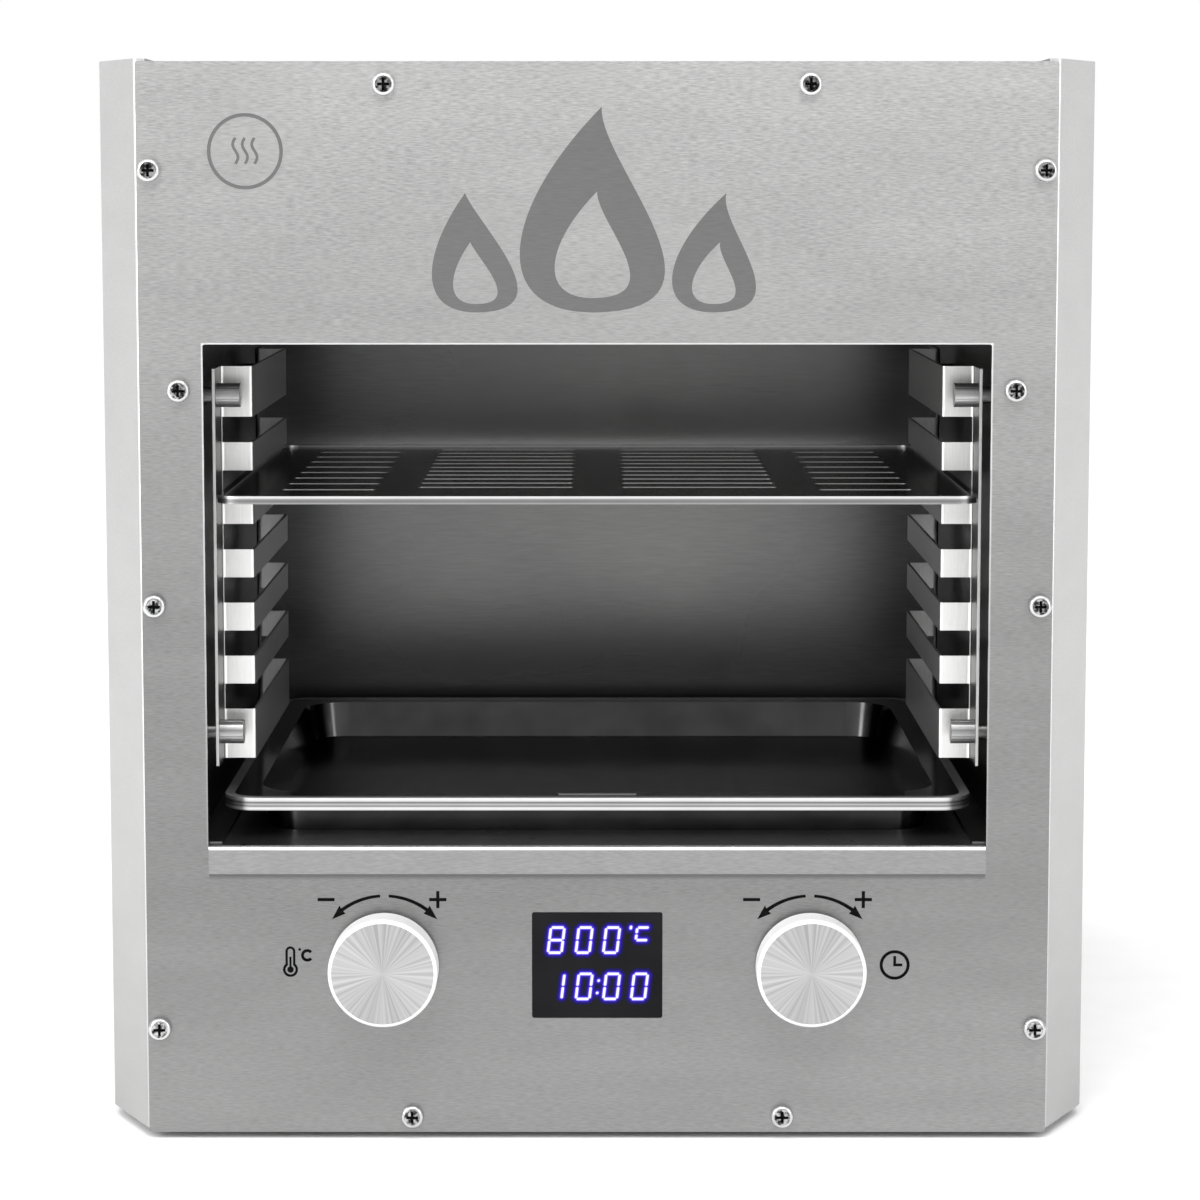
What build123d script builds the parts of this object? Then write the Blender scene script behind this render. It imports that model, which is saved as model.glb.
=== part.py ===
from build123d import *

import os
from math import cos, radians, sin

# Electric infrared top-heat grill: a tall stainless casing, an open chamber with rack guides under a
# radiant heater, and a control bay below it with two push-and-turn knobs and a display.
# Millimetres. X is to the right, the front faces -Y, +Z is up and Z = 0 is the floor.
# "depth" is measured backwards from the front plate's face.

SHEET = 1.2
BEND = 2.0
BODY_DEPTH = 440.0
HALF_WIDTH = 214.0
GUARD_REACH = 3.5
KNOB_REACH = 16.0
FRONT = -(BODY_DEPTH + GUARD_REACH - KNOB_REACH) / 2

FASCIA_THICK = 1.5
FASCIA_HALF = 193.5
FASCIA_BOTTOM = 3.0
FASCIA_TOP = 462.0
MOUTH_HALF = 166.6
MOUTH_BOTTOM = 127.4
MOUTH_TOP = 343.5
FLANGE_DEPTH = FASCIA_THICK + SHEET

WING_DEPTH = 36.0
WING_BOTTOM = 4.5
RETURN_EDGE = 182.6
REAR_SHEET = BODY_DEPTH - SHEET
REAR_FLANGE = 197.0

CHAMBER_HALF = 173.0
CHAMBER_DEPTH = 300.0
FLOOR_TOP = MOUTH_BOTTOM + SHEET
CEILING = 350.0
LIP_DROP = 12.0
BOARD_THICK = 22.0

BASE_BOTTOM = 16.0
BASE_TOP = BASE_BOTTOM + SHEET
SHIELD_BOTTOM = 107.0
SHIELD_TOP = SHIELD_BOTTOM + SHEET

GUIDE_PLATE = 164.0
GUIDE_FACE = 150.0
GUIDE_BOTTOM = 159.5
GUIDE_TOP = 332.0
GUIDE_FRONT = 20.0
TOOTH_FRONT = 40.0
TOOTH_REAR = 186.0
GUIDE_REAR = 220.0
SLOT_HEIGHT = 11.2
SLOT_PITCH = 23.5
SLOT_COUNT = 6
LOWEST_SLOT = 181.3
RACK_LEVEL = LOWEST_SLOT + 4 * SLOT_PITCH
GUIDE_SCREW_DEPTHS = (27.0, 205.0)
GUIDE_SCREW_HEIGHTS = (173.5, 320.3)
GUIDE_BOLT = 4.0

GASTRO_LONG = 325.0
GASTRO_SHORT = 265.0

SIDE_SCREW = (176.8, 323.9)
TOP_SCREW_Z = 452.4
BOTTOM_SCREW_Z = 10.2
REAR_TOP_SCREW_Z = 450.0
COVER_FLANGE_BOTTOM = 440.0
COVER_FLANGE = FASCIA_TOP - SHEET - COVER_FLANGE_BOTTOM
KNOB_X = 91.3
KNOB_Z = 76.6
KNOB_RADIUS = 23.35
KNOB_TALL = 14.0
SHAFT_RADIUS = 3.0
DISPLAY_Z = 76.5
WINDOW_WIDE = 55.7
WINDOW_HIGH = 46.0

FAN_X = -100.0
FAN_Z = 72.0
FAN_SIZE = 80.0
FAN_SCREWS = 71.5
FAN_HOLE = 38.5
INLET_X = 130.0
SWITCH_X = 78.0
POWER_Z = 66.0

HEATER_CENTRE = (0, 150)
COIL_RUNS = 11
COIL_PITCH = 20.0
COIL_FIRST = 50.0
COIL_HALF = 125.0
COIL_WIRE = 3.2
COIL_Z = 354.8
LEAD_TOP = 416.0
CUTOUT = (0.0, 200.0)
PROBE = (60.0, 341.0)
REAR_BOARD_THICK = 28.0
PROBE_SEAT = CHAMBER_DEPTH + SHEET + REAR_BOARD_THICK

FRONT_SCREWS = [
    (side * x, z)
    for side in (-1, 1)
    for x, z in (
        (89.4, TOP_SCREW_Z),
        (188.2, 416.5),
        SIDE_SCREW,
        (188.2, 232.2),
        (188.2, 48.75),
        (79.8, BOTTOM_SCREW_Z),
    )
]
REAR_SCREWS = [(side * 205.0, z) for side in (-1, 1) for z in (40.0, 160.0, 300.0, 430.0)]
REAR_SCREWS += [(side * 120.0, z) for side in (-1, 1) for z in (BOTTOM_SCREW_Z, REAR_TOP_SCREW_Z)]
TOP_SCREWS = [(side * 201.7, depth) for side in (-1, 1) for depth in (110.0, 250.0, 400.0)]
FEET = [(side * 165.0, depth) for side in (-1, 1) for depth in (70.0, 395.0)]
POSTS = [(side * 150.0, depth) for side in (-1, 1) for depth in (35.0, 284.0)]
# Half of the outline that the top cover and the base plate share, inside the side panels.
INNER_HALF = HALF_WIDTH - 1.4
HALF_OUTLINE = [
    (RETURN_EDGE - 0.8, FASCIA_THICK),
    (RETURN_EDGE - 0.8, 3.4),
    (191.5, 3.4),
    (211.5, WING_DEPTH + 2.5),
    (INNER_HALF, WING_DEPTH + 8),
    (INNER_HALF, REAR_SHEET - 1.4),
    (REAR_FLANGE - 0.4, REAR_SHEET - 1.4),
    (REAR_FLANGE - 0.4, REAR_SHEET),
]
LEVEL_OUTLINE = HALF_OUTLINE + [(-x, depth) for x, depth in reversed(HALF_OUTLINE)]
LEADS = [(-COIL_HALF, COIL_FIRST), (COIL_HALF, COIL_FIRST + (COIL_RUNS - 1) * COIL_PITCH)]


def upright(depth):
    """Plane that faces the front, with X across and Z up."""
    return Plane(origin=(0, FRONT + depth, 0), x_dir=(1, 0, 0), z_dir=(0, -1, 0))


def plan(height):
    """Level plane on which the second coordinate is the depth."""
    return Plane(origin=(0, FRONT, height), x_dir=(1, 0, 0), z_dir=(0, 0, 1))


def side_on(x):
    """Plane across the casing, with depth and height as its coordinates."""
    return Plane(origin=(x, FRONT, 0), x_dir=(0, 1, 0), z_dir=(1, 0, 0))


def bent_sheet(*points, side=Side.LEFT, radius=BEND, thickness=SHEET):
    """Section of a folded sheet that has one face along the points."""
    with BuildSketch() as section:
        with BuildLine():
            face = FilletPolyline(*points, radius=radius)
            offset(face, amount=thickness, side=side)
        make_face()
    return section.sketch


def pan_screw(head, tall, shank, length):
    """Cross-recess pan-head screw along Z, with its head above zero."""
    with BuildPart() as screw:
        with BuildSketch():
            Circle(head / 2)
        extrude(amount=tall)
        fillet(screw.faces().sort_by(Axis.Z)[-1].edges(), radius=0.55 * tall)
        with BuildSketch():
            Circle(shank / 2)
        extrude(amount=-length)
        with BuildSketch(Plane.XY.offset(tall)):
            Rectangle(0.52 * head, 0.12 * head)
            Rectangle(0.12 * head, 0.52 * head)
        extrude(amount=-0.5 * tall, mode=Mode.SUBTRACT)
    return screw.part


def finish(builder, name):
    builder.part.label = name
    export_step(builder.part, f"parts/{name}.step")


os.makedirs("parts", exist_ok=True)

# ---------------------------------------------------------------- casing

with BuildPart() as fascia:
    with BuildSketch(upright(FASCIA_THICK)):
        with Locations((0, (FASCIA_BOTTOM + FASCIA_TOP) / 2)):
            RectangleRounded(2 * FASCIA_HALF, FASCIA_TOP - FASCIA_BOTTOM, 1.5)
        with Locations((0, (MOUTH_BOTTOM + MOUTH_TOP) / 2)):
            RectangleRounded(2 * MOUTH_HALF, MOUTH_TOP - MOUTH_BOTTOM, 1, mode=Mode.SUBTRACT)
        with Locations((0, MOUTH_BOTTOM - 0.9)):
            Rectangle(2 * MOUTH_HALF, 20, align=(Align.CENTER, Align.MIN), mode=Mode.SUBTRACT)
        with Locations(*FRONT_SCREWS):
            Circle(2.75, mode=Mode.SUBTRACT)
        with Locations((-KNOB_X, KNOB_Z), (KNOB_X, KNOB_Z)):
            Circle(3.7, mode=Mode.SUBTRACT)
        with Locations((0, DISPLAY_Z)):
            RectangleRounded(WINDOW_WIDE + 0.4, WINDOW_HIGH + 0.4, 1, mode=Mode.SUBTRACT)
    extrude(amount=FASCIA_THICK)
finish(fascia, "fascia")

front_screw = pan_screw(9.9, 3.2, 5.0, 9)
with BuildPart() as fascia_screws:
    for x, z in FRONT_SCREWS:
        with Locations(Location((x, FRONT, z), (90, 0, 0))):
            add(front_screw)
finish(fascia_screws, "fascia_screws")

SIDE_LINE = [
    (FASCIA_HALF + FASCIA_THICK * (HALF_WIDTH - FASCIA_HALF) / WING_DEPTH, FASCIA_THICK),
    (HALF_WIDTH, WING_DEPTH),
    (HALF_WIDTH, REAR_SHEET),
]
with BuildPart() as right_side_panel:
    with BuildSketch(plan(WING_BOTTOM)):
        add(bent_sheet((RETURN_EDGE, FASCIA_THICK), *SIDE_LINE, (REAR_FLANGE, REAR_SHEET)))
    extrude(amount=FASCIA_TOP - WING_BOTTOM)
    with BuildSketch(plan(FASCIA_TOP)):
        with BuildLine():
            FilletPolyline((189.5, FASCIA_THICK), *SIDE_LINE, (189.5, REAR_SHEET), radius=BEND)
            Line((189.5, REAR_SHEET), (189.5, FASCIA_THICK))
        make_face()
        with Locations(*[(x, depth) for x, depth in TOP_SCREWS if x > 0]):
            Circle(2.25, mode=Mode.SUBTRACT)
    extrude(amount=SHEET)
    with BuildSketch(upright(FLANGE_DEPTH)):
        with Locations(*[(x, z) for x, z in FRONT_SCREWS if x > RETURN_EDGE]):
            Circle(2.55)
    extrude(amount=SHEET, mode=Mode.SUBTRACT)
    with BuildSketch(upright(REAR_SHEET)):
        with Locations(*[(x, z) for x, z in REAR_SCREWS if x > REAR_FLANGE]):
            Circle(2.05)
    extrude(amount=SHEET, mode=Mode.SUBTRACT)
finish(right_side_panel, "right_side_panel")

with BuildPart() as left_side_panel:
    mirror(right_side_panel.part, about=Plane.YZ)
finish(left_side_panel, "left_side_panel")

with BuildPart() as top_cover:
    with BuildSketch(plan(FASCIA_TOP - SHEET)):
        with BuildLine():
            Polyline(*LEVEL_OUTLINE, close=True)
        make_face()
        with Locations(HEATER_CENTRE):
            with GridLocations(90, 12, 3, 11):
                SlotOverall(70, 5, mode=Mode.SUBTRACT)
        with Locations(*TOP_SCREWS):
            Circle(2.05, mode=Mode.SUBTRACT)
    extrude(amount=SHEET)
    with BuildSketch(upright(FLANGE_DEPTH)):
        with Locations((0, COVER_FLANGE_BOTTOM)):
            Rectangle(2 * (RETURN_EDGE - 0.8), COVER_FLANGE, align=(Align.CENTER, Align.MIN))
        with Locations(*[(x, z) for x, z in FRONT_SCREWS if z == TOP_SCREW_Z]):
            Circle(2.55, mode=Mode.SUBTRACT)
    extrude(amount=SHEET)
    with BuildSketch(upright(REAR_SHEET)):
        with Locations((0, COVER_FLANGE_BOTTOM)):
            Rectangle(2 * (REAR_FLANGE - 0.4), COVER_FLANGE, align=(Align.CENTER, Align.MIN))
        with Locations(*[(x, z) for x, z in REAR_SCREWS if z == REAR_TOP_SCREW_Z]):
            Circle(2.05, mode=Mode.SUBTRACT)
    extrude(amount=SHEET)
finish(top_cover, "top_cover")

with BuildPart() as rear_cover:
    with BuildSketch(upright(BODY_DEPTH)):
        with Locations((0, (WING_BOTTOM + FASCIA_TOP) / 2)):
            RectangleRounded(2 * HALF_WIDTH - 3, FASCIA_TOP - WING_BOTTOM, 2)
        with Locations(*REAR_SCREWS):
            Circle(2.25, mode=Mode.SUBTRACT)
        with Locations((FAN_X, FAN_Z)):
            Circle(FAN_HOLE, mode=Mode.SUBTRACT)
            with GridLocations(FAN_SCREWS, FAN_SCREWS, 2, 2):
                Circle(2.25, mode=Mode.SUBTRACT)
        with Locations((INLET_X, POWER_Z)):
            Rectangle(28.4, 22.4, mode=Mode.SUBTRACT)
            with GridLocations(40, 10, 2, 1):
                Circle(1.7, mode=Mode.SUBTRACT)
        with Locations((SWITCH_X, POWER_Z)):
            Rectangle(22.4, 31, mode=Mode.SUBTRACT)
        with Locations((0, 375)):
            with GridLocations(80, 12, 4, 8):
                SlotOverall(62, 5, mode=Mode.SUBTRACT)
    extrude(amount=SHEET)
finish(rear_cover, "rear_cover")

with BuildPart() as base_plate:
    with BuildSketch(plan(BASE_BOTTOM)):
        with BuildLine():
            Polyline(*LEVEL_OUTLINE, close=True)
        make_face()
        with Locations((-100, 160)):
            with GridLocations(60, 12, 2, 10):
                SlotOverall(48, 5, mode=Mode.SUBTRACT)
        with Locations(*FEET):
            Circle(2.55, mode=Mode.SUBTRACT)
    extrude(amount=SHEET)
    with BuildSketch(upright(FLANGE_DEPTH)):
        with Locations((0, WING_BOTTOM)):
            Rectangle(2 * (RETURN_EDGE - 0.8), BASE_BOTTOM - WING_BOTTOM, align=(Align.CENTER, Align.MIN))
        with Locations(*[(x, z) for x, z in FRONT_SCREWS if z == BOTTOM_SCREW_Z]):
            Circle(2.55, mode=Mode.SUBTRACT)
    extrude(amount=SHEET)
    with BuildSketch(upright(REAR_SHEET)):
        with Locations((0, WING_BOTTOM)):
            Rectangle(2 * (REAR_FLANGE - 0.4), BASE_BOTTOM - WING_BOTTOM, align=(Align.CENTER, Align.MIN))
        with Locations(*[(x, z) for x, z in REAR_SCREWS if z == BOTTOM_SCREW_Z]):
            Circle(2.05, mode=Mode.SUBTRACT)
    extrude(amount=SHEET)
    with BuildSketch(plan(WING_BOTTOM)):
        for side in (-1, 1):
            with Locations((side * (INNER_HALF - SHEET / 2), 240)):
                Rectangle(SHEET, 380)
    extrude(amount=BASE_BOTTOM - WING_BOTTOM)
finish(base_plate, "base_plate")

with BuildPart() as feet:
    for x, depth in FEET:
        with BuildSketch(plan(BASE_BOTTOM)):
            with Locations((x, depth)):
                Circle(16)
        extrude(amount=-BASE_BOTTOM, taper=6)
    with BuildSketch(plan(0)):
        with Locations(*FEET):
            Circle(2.7)
    extrude(amount=BASE_BOTTOM, mode=Mode.SUBTRACT)
    with BuildSketch(plan(0)):
        with Locations(*FEET):
            Circle(6)
    extrude(amount=6, mode=Mode.SUBTRACT)
finish(feet, "feet")

foot_screw = pan_screw(9.0, 3.2, 5.0, 14)
with BuildPart() as feet_screws:
    for x, depth in FEET:
        with Locations(Location((x, FRONT + depth, 6), (180, 0, 0))):
            add(foot_screw)
finish(feet_screws, "feet_screws")

cover_screw = pan_screw(7.6, 2.4, 4.0, 8)
with BuildPart() as case_screws:
    for x, depth in TOP_SCREWS:
        with Locations((x, FRONT + depth, FASCIA_TOP + SHEET)):
            add(cover_screw)
    for x, z in REAR_SCREWS:
        with Locations(Location((x, FRONT + BODY_DEPTH, z), (-90, 0, 0))):
            add(cover_screw)
finish(case_screws, "case_screws")

# ---------------------------------------------------------------- chamber

with BuildPart() as right_chamber_wall:
    with BuildSketch(plan(FLOOR_TOP)):
        add(
            bent_sheet(
                (182, FASCIA_THICK),
                (CHAMBER_HALF, FASCIA_THICK),
                (CHAMBER_HALF, CHAMBER_DEPTH),
                (185, CHAMBER_DEPTH),
                side=Side.RIGHT,
            )
        )
    extrude(amount=CEILING - FLOOR_TOP)
    with BuildSketch(plan(CEILING - SHEET)):
        with Locations((180, 154)):
            Rectangle(13, 288)
    extrude(amount=SHEET)
    with BuildSketch(plan(FLOOR_TOP)):
        with Locations((167.3, 151)):
            Rectangle(12.6, 296)
    extrude(amount=SHEET)
    with BuildSketch(side_on(CHAMBER_HALF)):
        for depth in GUIDE_SCREW_DEPTHS:
            for z in GUIDE_SCREW_HEIGHTS:
                with Locations((depth, z)):
                    Circle(GUIDE_BOLT / 2 + 0.1)
    extrude(amount=SHEET, mode=Mode.SUBTRACT)
    with BuildSketch(upright(FLANGE_DEPTH + 2)):
        with Locations(SIDE_SCREW):
            Circle(2.55)
    extrude(amount=SHEET + 2, mode=Mode.SUBTRACT)
finish(right_chamber_wall, "right_chamber_wall")

with BuildPart() as left_chamber_wall:
    mirror(right_chamber_wall.part, about=Plane.YZ)
finish(left_chamber_wall, "left_chamber_wall")

with BuildPart() as chamber_back:
    with BuildSketch(upright(CHAMBER_DEPTH + SHEET)):
        with Locations((0, (SHIELD_TOP + CEILING) / 2)):
            Rectangle(370, CEILING - SHIELD_TOP)
        with Locations(PROBE):
            Circle(2.45, mode=Mode.SUBTRACT)
    extrude(amount=SHEET)
    with BuildSketch(plan(CEILING - SHEET)):
        with Locations((0, CHAMBER_DEPTH + SHEET)):
            Rectangle(370, 12, align=(Align.CENTER, Align.MIN))
    extrude(amount=SHEET)
finish(chamber_back, "chamber_back")

with BuildPart() as chamber_ceiling:
    with BuildSketch(side_on(-165)):
        add(bent_sheet((FASCIA_THICK, 364), (FASCIA_THICK, CEILING), (313, CEILING)))
    extrude(amount=330)
    with BuildSketch(plan(CEILING)):
        for side in (-1, 1):
            with Locations((side * 175.5, 158.5)):
                Rectangle(21, 309)
    extrude(amount=SHEET)
    with BuildSketch(plan(CEILING)):
        with Locations(HEATER_CENTRE):
            RectangleRounded(280, 220, 6)
    extrude(amount=SHEET, mode=Mode.SUBTRACT)
finish(chamber_ceiling, "chamber_ceiling")

with BuildPart() as chamber_floor:
    with BuildSketch(side_on(-MOUTH_HALF + 0.2)):
        add(
            bent_sheet(
                (-SHEET, FLOOR_TOP - LIP_DROP),
                (-SHEET, FLOOR_TOP),
                (CHAMBER_DEPTH, FLOOR_TOP),
                side=Side.RIGHT,
            )
        )
    extrude(amount=2 * MOUTH_HALF - 0.4)
    with BuildSketch(plan(MOUTH_BOTTOM)):
        for side in (-1, 1):
            with Locations((side * 170.3, 151.5)):
                Rectangle(7.8, 297)
    extrude(amount=SHEET)
    with BuildSketch(plan(MOUTH_BOTTOM)):
        for side in (-1, 1):
            with Locations((side * (CHAMBER_HALF + SHEET / 2), 151)):
                Rectangle(SHEET, 294)
    extrude(amount=-12)
finish(chamber_floor, "chamber_floor")

BOARD_BOTTOM = SHIELD_TOP + 0.2
BOARD_HEIGHT = CEILING - SHEET - 0.2 - BOARD_BOTTOM
with BuildPart() as chamber_insulation:
    for side in (-1, 1):
        with BuildSketch(plan(BOARD_BOTTOM)):
            with Locations((side * (CHAMBER_HALF + SHEET + 0.4 + BOARD_THICK / 2), 154)):
                Rectangle(BOARD_THICK, 288)
        extrude(amount=BOARD_HEIGHT)
        with BuildSketch(side_on(side * CHAMBER_HALF)):
            for depth in GUIDE_SCREW_DEPTHS:
                for z in GUIDE_SCREW_HEIGHTS:
                    with Locations((depth, z)):
                        Circle(3)
        extrude(amount=side * 9, mode=Mode.SUBTRACT)
    with BuildSketch(upright(PROBE_SEAT)):
        with Locations((0, BOARD_BOTTOM)):
            Rectangle(344, BOARD_HEIGHT, align=(Align.CENTER, Align.MIN))
        with Locations(PROBE):
            Circle(2.5, mode=Mode.SUBTRACT)
    extrude(amount=REAR_BOARD_THICK - 0.2)
    with BuildSketch(plan(SHIELD_TOP)):
        with Locations((0, 154)):
            Rectangle(345, 288)
    extrude(amount=MOUTH_BOTTOM - SHIELD_TOP)
finish(chamber_insulation, "chamber_insulation")

with BuildPart() as bay_shield:
    with BuildSketch(plan(SHIELD_BOTTOM)):
        with Locations((0, 160)):
            Rectangle(372, 308)
    extrude(amount=SHEET)
    with BuildSketch(plan(SHIELD_BOTTOM)):
        for side in (-1, 1):
            with Locations((side * 185.4, 160)):
                Rectangle(SHEET, 308)
    extrude(amount=-12)
finish(bay_shield, "bay_shield")

with BuildPart() as bay_posts:
    for x, depth in POSTS:
        with BuildSketch(plan(BASE_TOP)):
            add(
                bent_sheet(
                    (x - 15, depth + 15),
                    (x - 15, depth),
                    (x + 15, depth),
                    (x + 15, depth + 15),
                    thickness=1.5,
                )
            )
        extrude(amount=SHIELD_BOTTOM - BASE_TOP)
finish(bay_posts, "bay_posts")

# ---------------------------------------------------------------- heater

HOUSING_TOP = 400.0
PLATE_BOTTOM = COIL_Z + COIL_WIRE
PLATE_TOP = 375.0

with BuildPart() as heater_housing:
    with BuildSketch(plan(CEILING + SHEET)):
        with Locations(HEATER_CENTRE):
            Rectangle(324, 260)
    extrude(amount=SHEET)
    with BuildSketch(plan(CEILING + SHEET)):
        with Locations(HEATER_CENTRE):
            RectangleRounded(300, 236, 3)
    extrude(amount=HOUSING_TOP - CEILING - SHEET)
    with BuildSketch(plan(CEILING + SHEET)):
        with Locations(HEATER_CENTRE):
            RectangleRounded(300 - 2 * SHEET, 236 - 2 * SHEET, 1.8)
    extrude(amount=HOUSING_TOP - CEILING - 2 * SHEET, mode=Mode.SUBTRACT)
    with BuildSketch(plan(HOUSING_TOP)):
        with Locations(*LEADS):
            Circle(6)
    extrude(amount=-SHEET, mode=Mode.SUBTRACT)
finish(heater_housing, "heater_housing")

with BuildPart() as heater_insulation:
    with BuildSketch(plan(PLATE_TOP)):
        with Locations(HEATER_CENTRE):
            Rectangle(296, 232)
        with Locations(*LEADS):
            Circle(5, mode=Mode.SUBTRACT)
    extrude(amount=HOUSING_TOP - SHEET - PLATE_TOP)
finish(heater_insulation, "heater_insulation")

with BuildPart() as heater_plate:
    with BuildSketch(plan(CEILING + SHEET)):
        with Locations(HEATER_CENTRE):
            Rectangle(296, 232)
            Rectangle(282, 222, mode=Mode.SUBTRACT)
    extrude(amount=PLATE_TOP - CEILING - SHEET)
    with BuildSketch(plan(PLATE_BOTTOM)):
        with Locations(HEATER_CENTRE):
            Rectangle(290, 228)
        with Locations(*LEADS):
            Circle(8.5, mode=Mode.SUBTRACT)
    extrude(amount=PLATE_TOP - PLATE_BOTTOM)
    with BuildSketch(plan(PLATE_BOTTOM)):
        with Locations(HEATER_CENTRE):
            with GridLocations(1, COIL_PITCH, 1, COIL_RUNS - 1):
                Rectangle(216, 6)
    extrude(amount=-5)
finish(heater_plate, "heater_plate")

coil_points = [(*LEADS[0], LEAD_TOP)]
for run in range(COIL_RUNS):
    reach = COIL_HALF if run % 2 == 0 else -COIL_HALF
    coil_points.append((-reach, COIL_FIRST + run * COIL_PITCH, COIL_Z))
    coil_points.append((reach, COIL_FIRST + run * COIL_PITCH, COIL_Z))
coil_points.append((*LEADS[1], LEAD_TOP))
with BuildPart() as heating_coil:
    with BuildLine():
        coil_path = FilletPolyline(*[(x, FRONT + depth, z) for x, depth, z in coil_points], radius=9)
    with BuildSketch(Plane(origin=coil_path @ 0, z_dir=coil_path % 0)):
        Circle(COIL_WIRE)
    sweep()
finish(heating_coil, "heating_coil")

with BuildPart() as heater_terminals:
    for x, depth in LEADS:
        with BuildSketch(plan(HOUSING_TOP)):
            with Locations((x, depth)):
                Circle(11)
        extrude(amount=4)
        with BuildSketch(plan(HOUSING_TOP + 4)):
            with Locations((x, depth)):
                Circle(7)
        extrude(amount=8)
    with BuildSketch(plan(HOUSING_TOP)):
        with Locations(*LEADS):
            Circle(COIL_WIRE + 0.2)
    extrude(amount=12, mode=Mode.SUBTRACT)
finish(heater_terminals, "heater_terminals")

with BuildPart() as thermocouple:
    with BuildSketch(upright(PROBE_SEAT)):
        with Locations(PROBE):
            Circle(2.25)
    extrude(amount=89)
    with BuildSketch(upright(PROBE_SEAT)):
        with Locations(PROBE):
            RegularPolygon(8, 6)
    extrude(amount=-8)
    with BuildSketch(upright(PROBE_SEAT + 8)):
        with Locations(PROBE):
            Circle(5)
    extrude(amount=-14)
finish(thermocouple, "thermocouple")

with BuildPart() as thermal_cutout:
    with BuildSketch(plan(SHIELD_BOTTOM)):
        with Locations(CUTOUT):
            SlotOverall(36, 10)
    extrude(amount=-1.5)
    with BuildSketch(plan(SHIELD_BOTTOM - 1.5)):
        with Locations(CUTOUT):
            Circle(8)
    extrude(amount=-10)
    with BuildSketch(plan(SHIELD_BOTTOM - 11.5)):
        with Locations(CUTOUT):
            with GridLocations(8, 1, 2, 1):
                Rectangle(0.8, 6.3)
    extrude(amount=-8)
finish(thermal_cutout, "thermal_cutout")

# ---------------------------------------------------------------- rack guides, rack and tray

with BuildPart() as right_rack_guide:
    with BuildSketch(plan(GUIDE_BOTTOM)):
        add(
            bent_sheet(
                (GUIDE_PLATE, GUIDE_FRONT),
                (GUIDE_PLATE, TOOTH_FRONT),
                (GUIDE_FACE, TOOTH_FRONT),
                (GUIDE_FACE, TOOTH_REAR),
                (GUIDE_PLATE, TOOTH_REAR),
                (GUIDE_PLATE, GUIDE_REAR),
                side=Side.RIGHT,
                radius=1.5,
            )
        )
    extrude(amount=GUIDE_TOP - GUIDE_BOTTOM)
    for slot in range(SLOT_COUNT):
        with BuildSketch(side_on(GUIDE_FACE - 1)):
            with Locations((TOOTH_FRONT - 1, LOWEST_SLOT + slot * SLOT_PITCH)):
                Rectangle(TOOTH_REAR - TOOTH_FRONT + 2, SLOT_HEIGHT, align=(Align.MIN, Align.MIN))
        extrude(amount=GUIDE_PLATE - GUIDE_FACE + 0.4, mode=Mode.SUBTRACT)
    with BuildSketch(side_on(GUIDE_PLATE)):
        for depth in GUIDE_SCREW_DEPTHS:
            for z in GUIDE_SCREW_HEIGHTS:
                with Locations((depth, z)):
                    Circle(GUIDE_BOLT / 2 + 0.1)
    extrude(amount=SHEET, mode=Mode.SUBTRACT)
finish(right_rack_guide, "right_rack_guide")

with BuildPart() as left_rack_guide:
    mirror(right_rack_guide.part, about=Plane.YZ)
finish(left_rack_guide, "left_rack_guide")

with BuildPart() as guide_spacers:
    for side in (-1, 1):
        with BuildSketch(side_on(side * (GUIDE_PLATE + SHEET))):
            for depth in GUIDE_SCREW_DEPTHS:
                for z in GUIDE_SCREW_HEIGHTS:
                    with Locations((depth, z)):
                        Circle(3.5)
                        Circle(GUIDE_BOLT / 2 + 0.1, mode=Mode.SUBTRACT)
        extrude(amount=side * (CHAMBER_HALF - GUIDE_PLATE - SHEET))
finish(guide_spacers, "guide_spacers")

with BuildPart() as thumbscrew:
    with BuildSketch():
        Circle(5.2)
        with PolarLocations(5.2, 24):
            Rectangle(0.6, 0.5, mode=Mode.SUBTRACT)
    extrude(amount=10.2)
    with BuildSketch():
        Circle(GUIDE_BOLT / 2)
    extrude(amount=-15)
with BuildPart() as guide_thumbscrews:
    for side in (-1, 1):
        for z in GUIDE_SCREW_HEIGHTS:
            place = (side * GUIDE_PLATE, FRONT + GUIDE_SCREW_DEPTHS[0], z)
            with Locations(Location(place, (0, -90 * side, 0))):
                add(thumbscrew.part)
finish(guide_thumbscrews, "guide_thumbscrews")

with BuildPart() as stud:
    with BuildSketch():
        Circle(4.5)
    extrude(amount=1.4)
    with BuildSketch():
        Circle(GUIDE_BOLT / 2)
    extrude(amount=-13)
with BuildPart() as guide_studs:
    for side in (-1, 1):
        for z in GUIDE_SCREW_HEIGHTS:
            place = (side * GUIDE_PLATE, FRONT + GUIDE_SCREW_DEPTHS[1], z)
            with Locations(Location(place, (0, -90 * side, 0))):
                add(stud.part)
finish(guide_studs, "guide_studs")

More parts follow.
